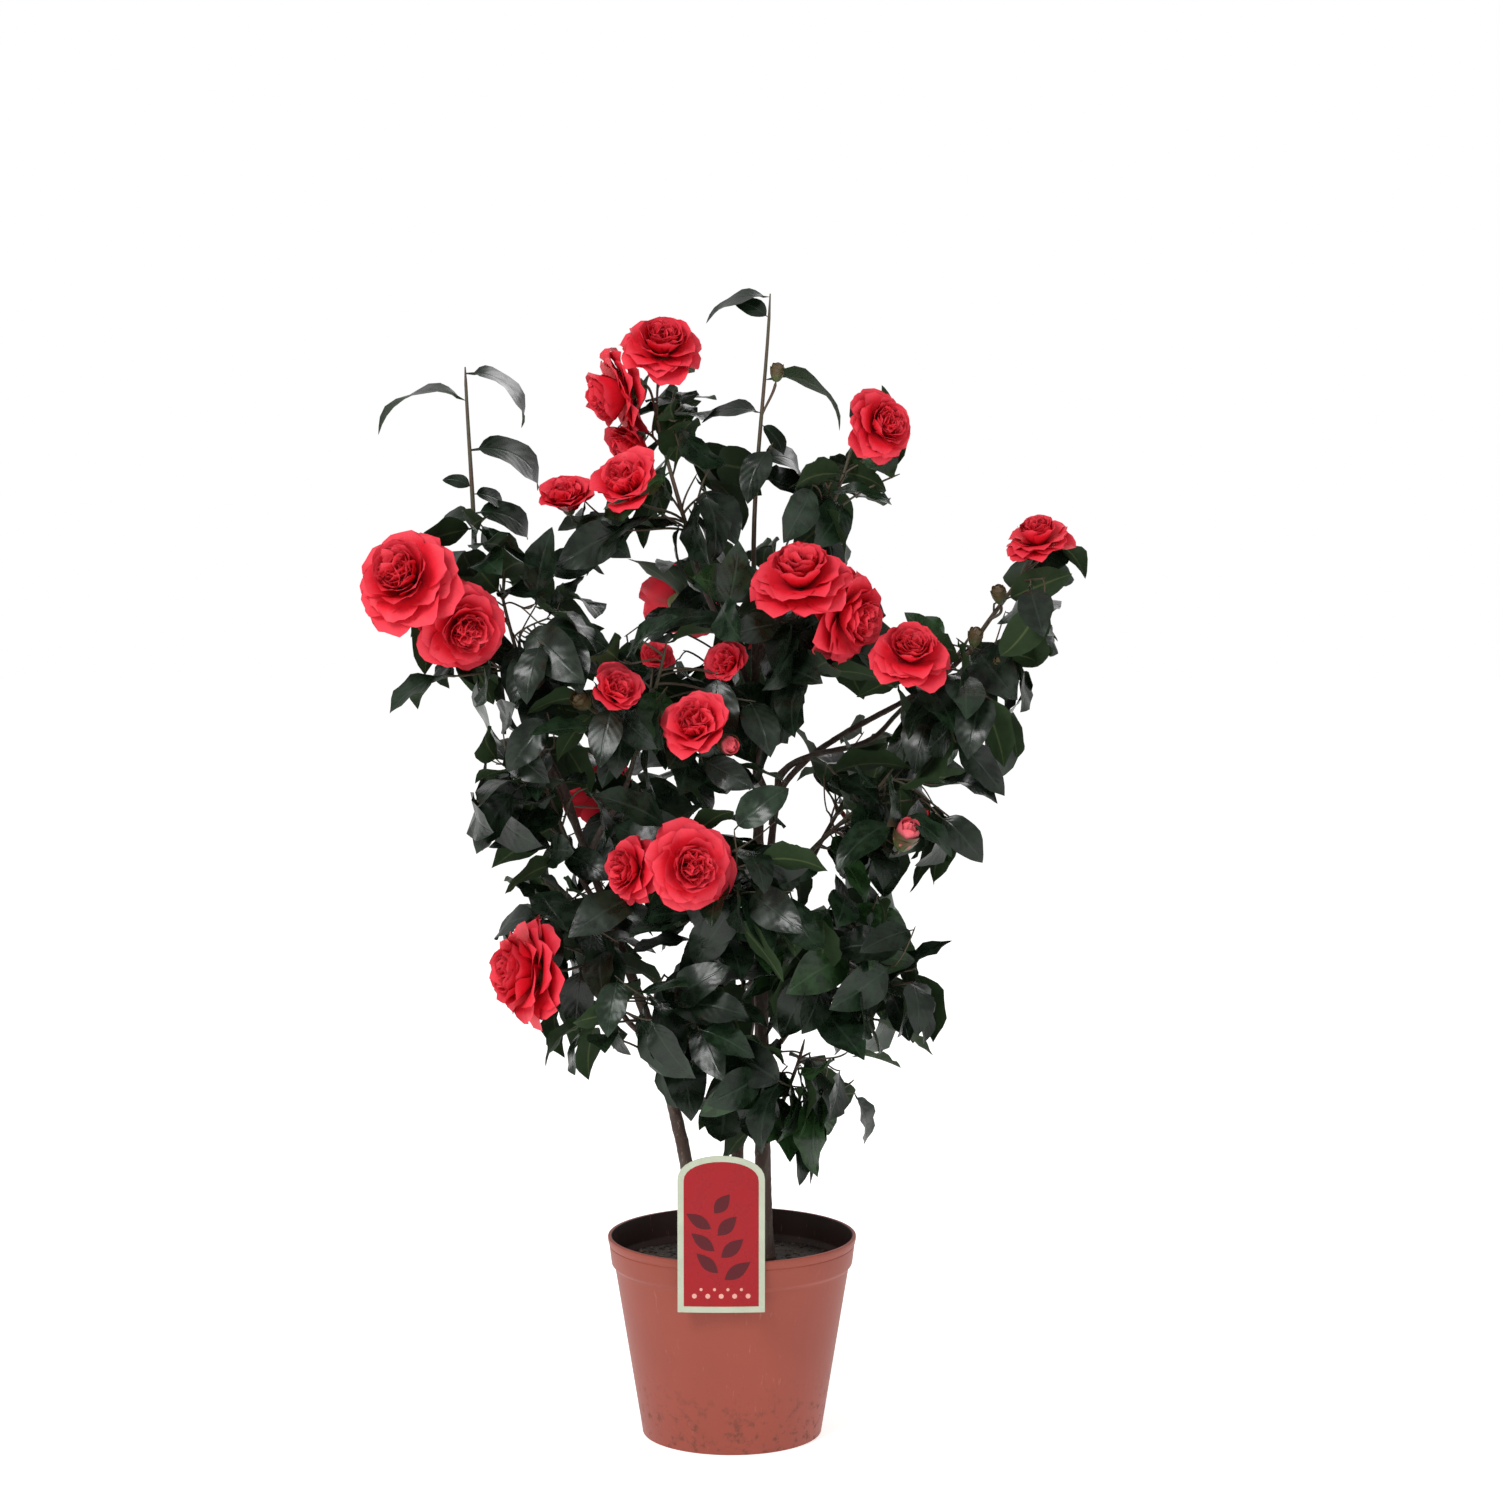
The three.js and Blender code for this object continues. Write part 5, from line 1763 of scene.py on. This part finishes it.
class SHRUB_OT_label(bpy.types.Operator):
    """Picture label on the rim: a pale card with a red panel and a plain sprig"""

    bl_idname = "shrub.label"
    bl_label = "Label"

    def execute(self, context):
        look = context.scene.shrub_container
        low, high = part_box("label")
        width, top, front, inside = (high.x - low.x) / MM, high.z / MM, low.y / MM, high.y / MM
        tall, thick, inset, print_on = LABEL["height"], LABEL["thickness"], LABEL["border"], LABEL["panel"]
        bottom, back = top - tall, front + thick
        lift = np.array((0, bottom))
        card = arched(width, tall, LABEL["shoulder"]) + lift
        panel = arched(width - 2 * inset, tall - 2 * inset, LABEL["shoulder"] * 0.8) + lift + (0, inset)
        sprig = [leaflet(28 - 2 * i, 12, (3 - 3 * i, bottom + 30 + 20 * i), 0.6 + 0.1 * i) for i in range(4)]
        for i in range(3):
            sprig.append(leaflet(26, 11, (-3 - 3 * i, bottom + 36 + 20 * i), math.pi - 0.75 + 0.1 * i))
        spots = [np.array(circle(2.2, 28)) + (-24 + 12 * i, bottom + 15) for i in range(5)]
        spots += [np.array(circle(1.4, 28)) + (-18 + 12 * i, bottom + 21) for i in range(4)]
        pale_card = finish("card", card_face, tuple(look.border))
        piece("label_card", plates("card", [card], back, thick), "card", (pale_card,), "label")
        for name, ink, colour, outlines, behind, depth in (
            ("panel", "panel", tuple(look.panel), [panel], front, print_on),
            ("sprig", "motif", (0.09, 0.004, 0.008), sprig, front - print_on, LABEL["print"]),
            ("spots", "spots", (0.74, 0.36, 0.30), spots, front - print_on, LABEL["print"]),
        ):
            printed = finish("card_" + ink, card_face, colour)
            piece("label_" + name, plates(name, outlines, behind, depth), "card", (printed,))
        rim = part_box("pot")[1].z / MM + GAP
        end = rim + thick - LABEL["drop"]
        strip = (
            (back, rim), (back, rim + thick), (inside, rim + thick), (inside, end), (inside - thick, end),
            (inside - thick, rim),
        )
        tongue = tongue_mesh(strip, LABEL["tongue"] / 2, label_middle())
        piece("label_tongue", tongue, "card", (pale_card,))
        return {"FINISHED"}


LIGHTS = (
    ("key", 58, 1.2, (-1.5, -2.2, 2.6)),
    ("fill", 10, 2.0, (2.2, -1.8, 1.4)),
    ("rim", 16, 1.6, (0.8, 2.4, 2.4)),
)
LIT_PLACE = Vector((0, 0, 0.6))
AIM_HEIGHT = 0.635
FOCAL_LENGTH, SENSOR = 78.81, 36
FLOOR_SIZE, FLOOR_DROP = 12, 0.0003


def aimed(name, data, place, target):
    """A lamp or camera at a place, turned to a target."""
    obj = placed(name, data)
    obj.location = Vector(place)
    obj.rotation_euler = (target - Vector(place)).to_track_quat("-Z", "Y").to_euler()
    return obj


class SHRUB_OT_stage(bpy.types.Operator):
    """Floor, light and camera"""

    bl_idname = "shrub.stage"
    bl_label = "Stage"

    def execute(self, context):
        scene = context.scene
        floor = bmesh.new()
        bmesh.ops.create_grid(floor, x_segments=2, y_segments=2, size=FLOOR_SIZE)
        mesh = made_mesh("floor", floor)
        mesh.materials.append(finish("floor", floor_face, (0.94, 0.94, 0.93)))
        ground = placed("floor", mesh)
        ground.location.z = -FLOOR_DROP

        world = bpy.data.worlds.new("studio")
        scene.world = world
        world.use_nodes = True
        world.node_tree.nodes.clear()
        graph = Graph(world.node_tree)
        seen = graph.add("ShaderNodeLightPath")["Is Camera Ray"]
        strength = graph.ease(seen, 0.0, 1.0, 0.5, 1.0)
        sky = graph.add("ShaderNodeBackground", {}, {"Color": (1, 1, 1), "Strength": strength})
        graph.add("ShaderNodeOutputWorld", {}, {"Surface": sky})

        for name, power, size, place in LIGHTS:
            light = bpy.data.lights.new(name, "AREA")
            light.energy = power
            light.size = size
            aimed(name, light, place, LIT_PLACE)

        scene.view_settings.view_transform = "Standard"
        lens = bpy.data.cameras.new("camera")
        lens.sensor_width = SENSOR
        lens.lens = FOCAL_LENGTH
        scene.camera = aimed("camera", lens, EYE * MM, Vector((EYE[0] * MM, 0, AIM_HEIGHT)))
        return {"FINISHED"}


OPERATORS = (
    SHRUB_OT_stage, SHRUB_OT_pot, SHRUB_OT_soil, SHRUB_OT_label,
    SHRUB_OT_limbs, SHRUB_OT_twigs, SHRUB_OT_leaves, SHRUB_OT_blooms,
)


class SHRUB_PT_panel(bpy.types.Panel):
    """Makes the shrub piece by piece"""

    bl_idname = "SHRUB_PT_panel"
    bl_label = "Camellia Shrub"
    bl_space_type = "VIEW_3D"
    bl_region_type = "UI"
    bl_category = "Shrub"

    def draw(self, context):
        for name in SETTINGS:
            box = self.layout.box()
            group = getattr(context.scene, name)
            for prop in group.bl_rna.properties.keys()[2:]:
                box.prop(group, prop)
        for operator in OPERATORS:
            self.layout.operator(operator.bl_idname)


SETTINGS = {
    "shrub_foliage": FoliageSettings,
    "shrub_blooms": BloomSettings,
    "shrub_wood": WoodSettings,
    "shrub_container": ContainerSettings,
}
CLASSES = (*SETTINGS.values(), *OPERATORS, SHRUB_PT_panel)


def register():
    for cls in CLASSES:
        bpy.utils.register_class(cls)
    for name, group in SETTINGS.items():
        setattr(bpy.types.Scene, name, bpy.props.PointerProperty(type=group))


def unregister():
    for name in SETTINGS:
        delattr(bpy.types.Scene, name)
    for cls in reversed(CLASSES):
        bpy.utils.unregister_class(cls)


def main():
    register()
    for operator in OPERATORS:
        group, name = operator.bl_idname.split(".")
        getattr(getattr(bpy.ops, group), name)()


if __name__ == "__main__":
    main()
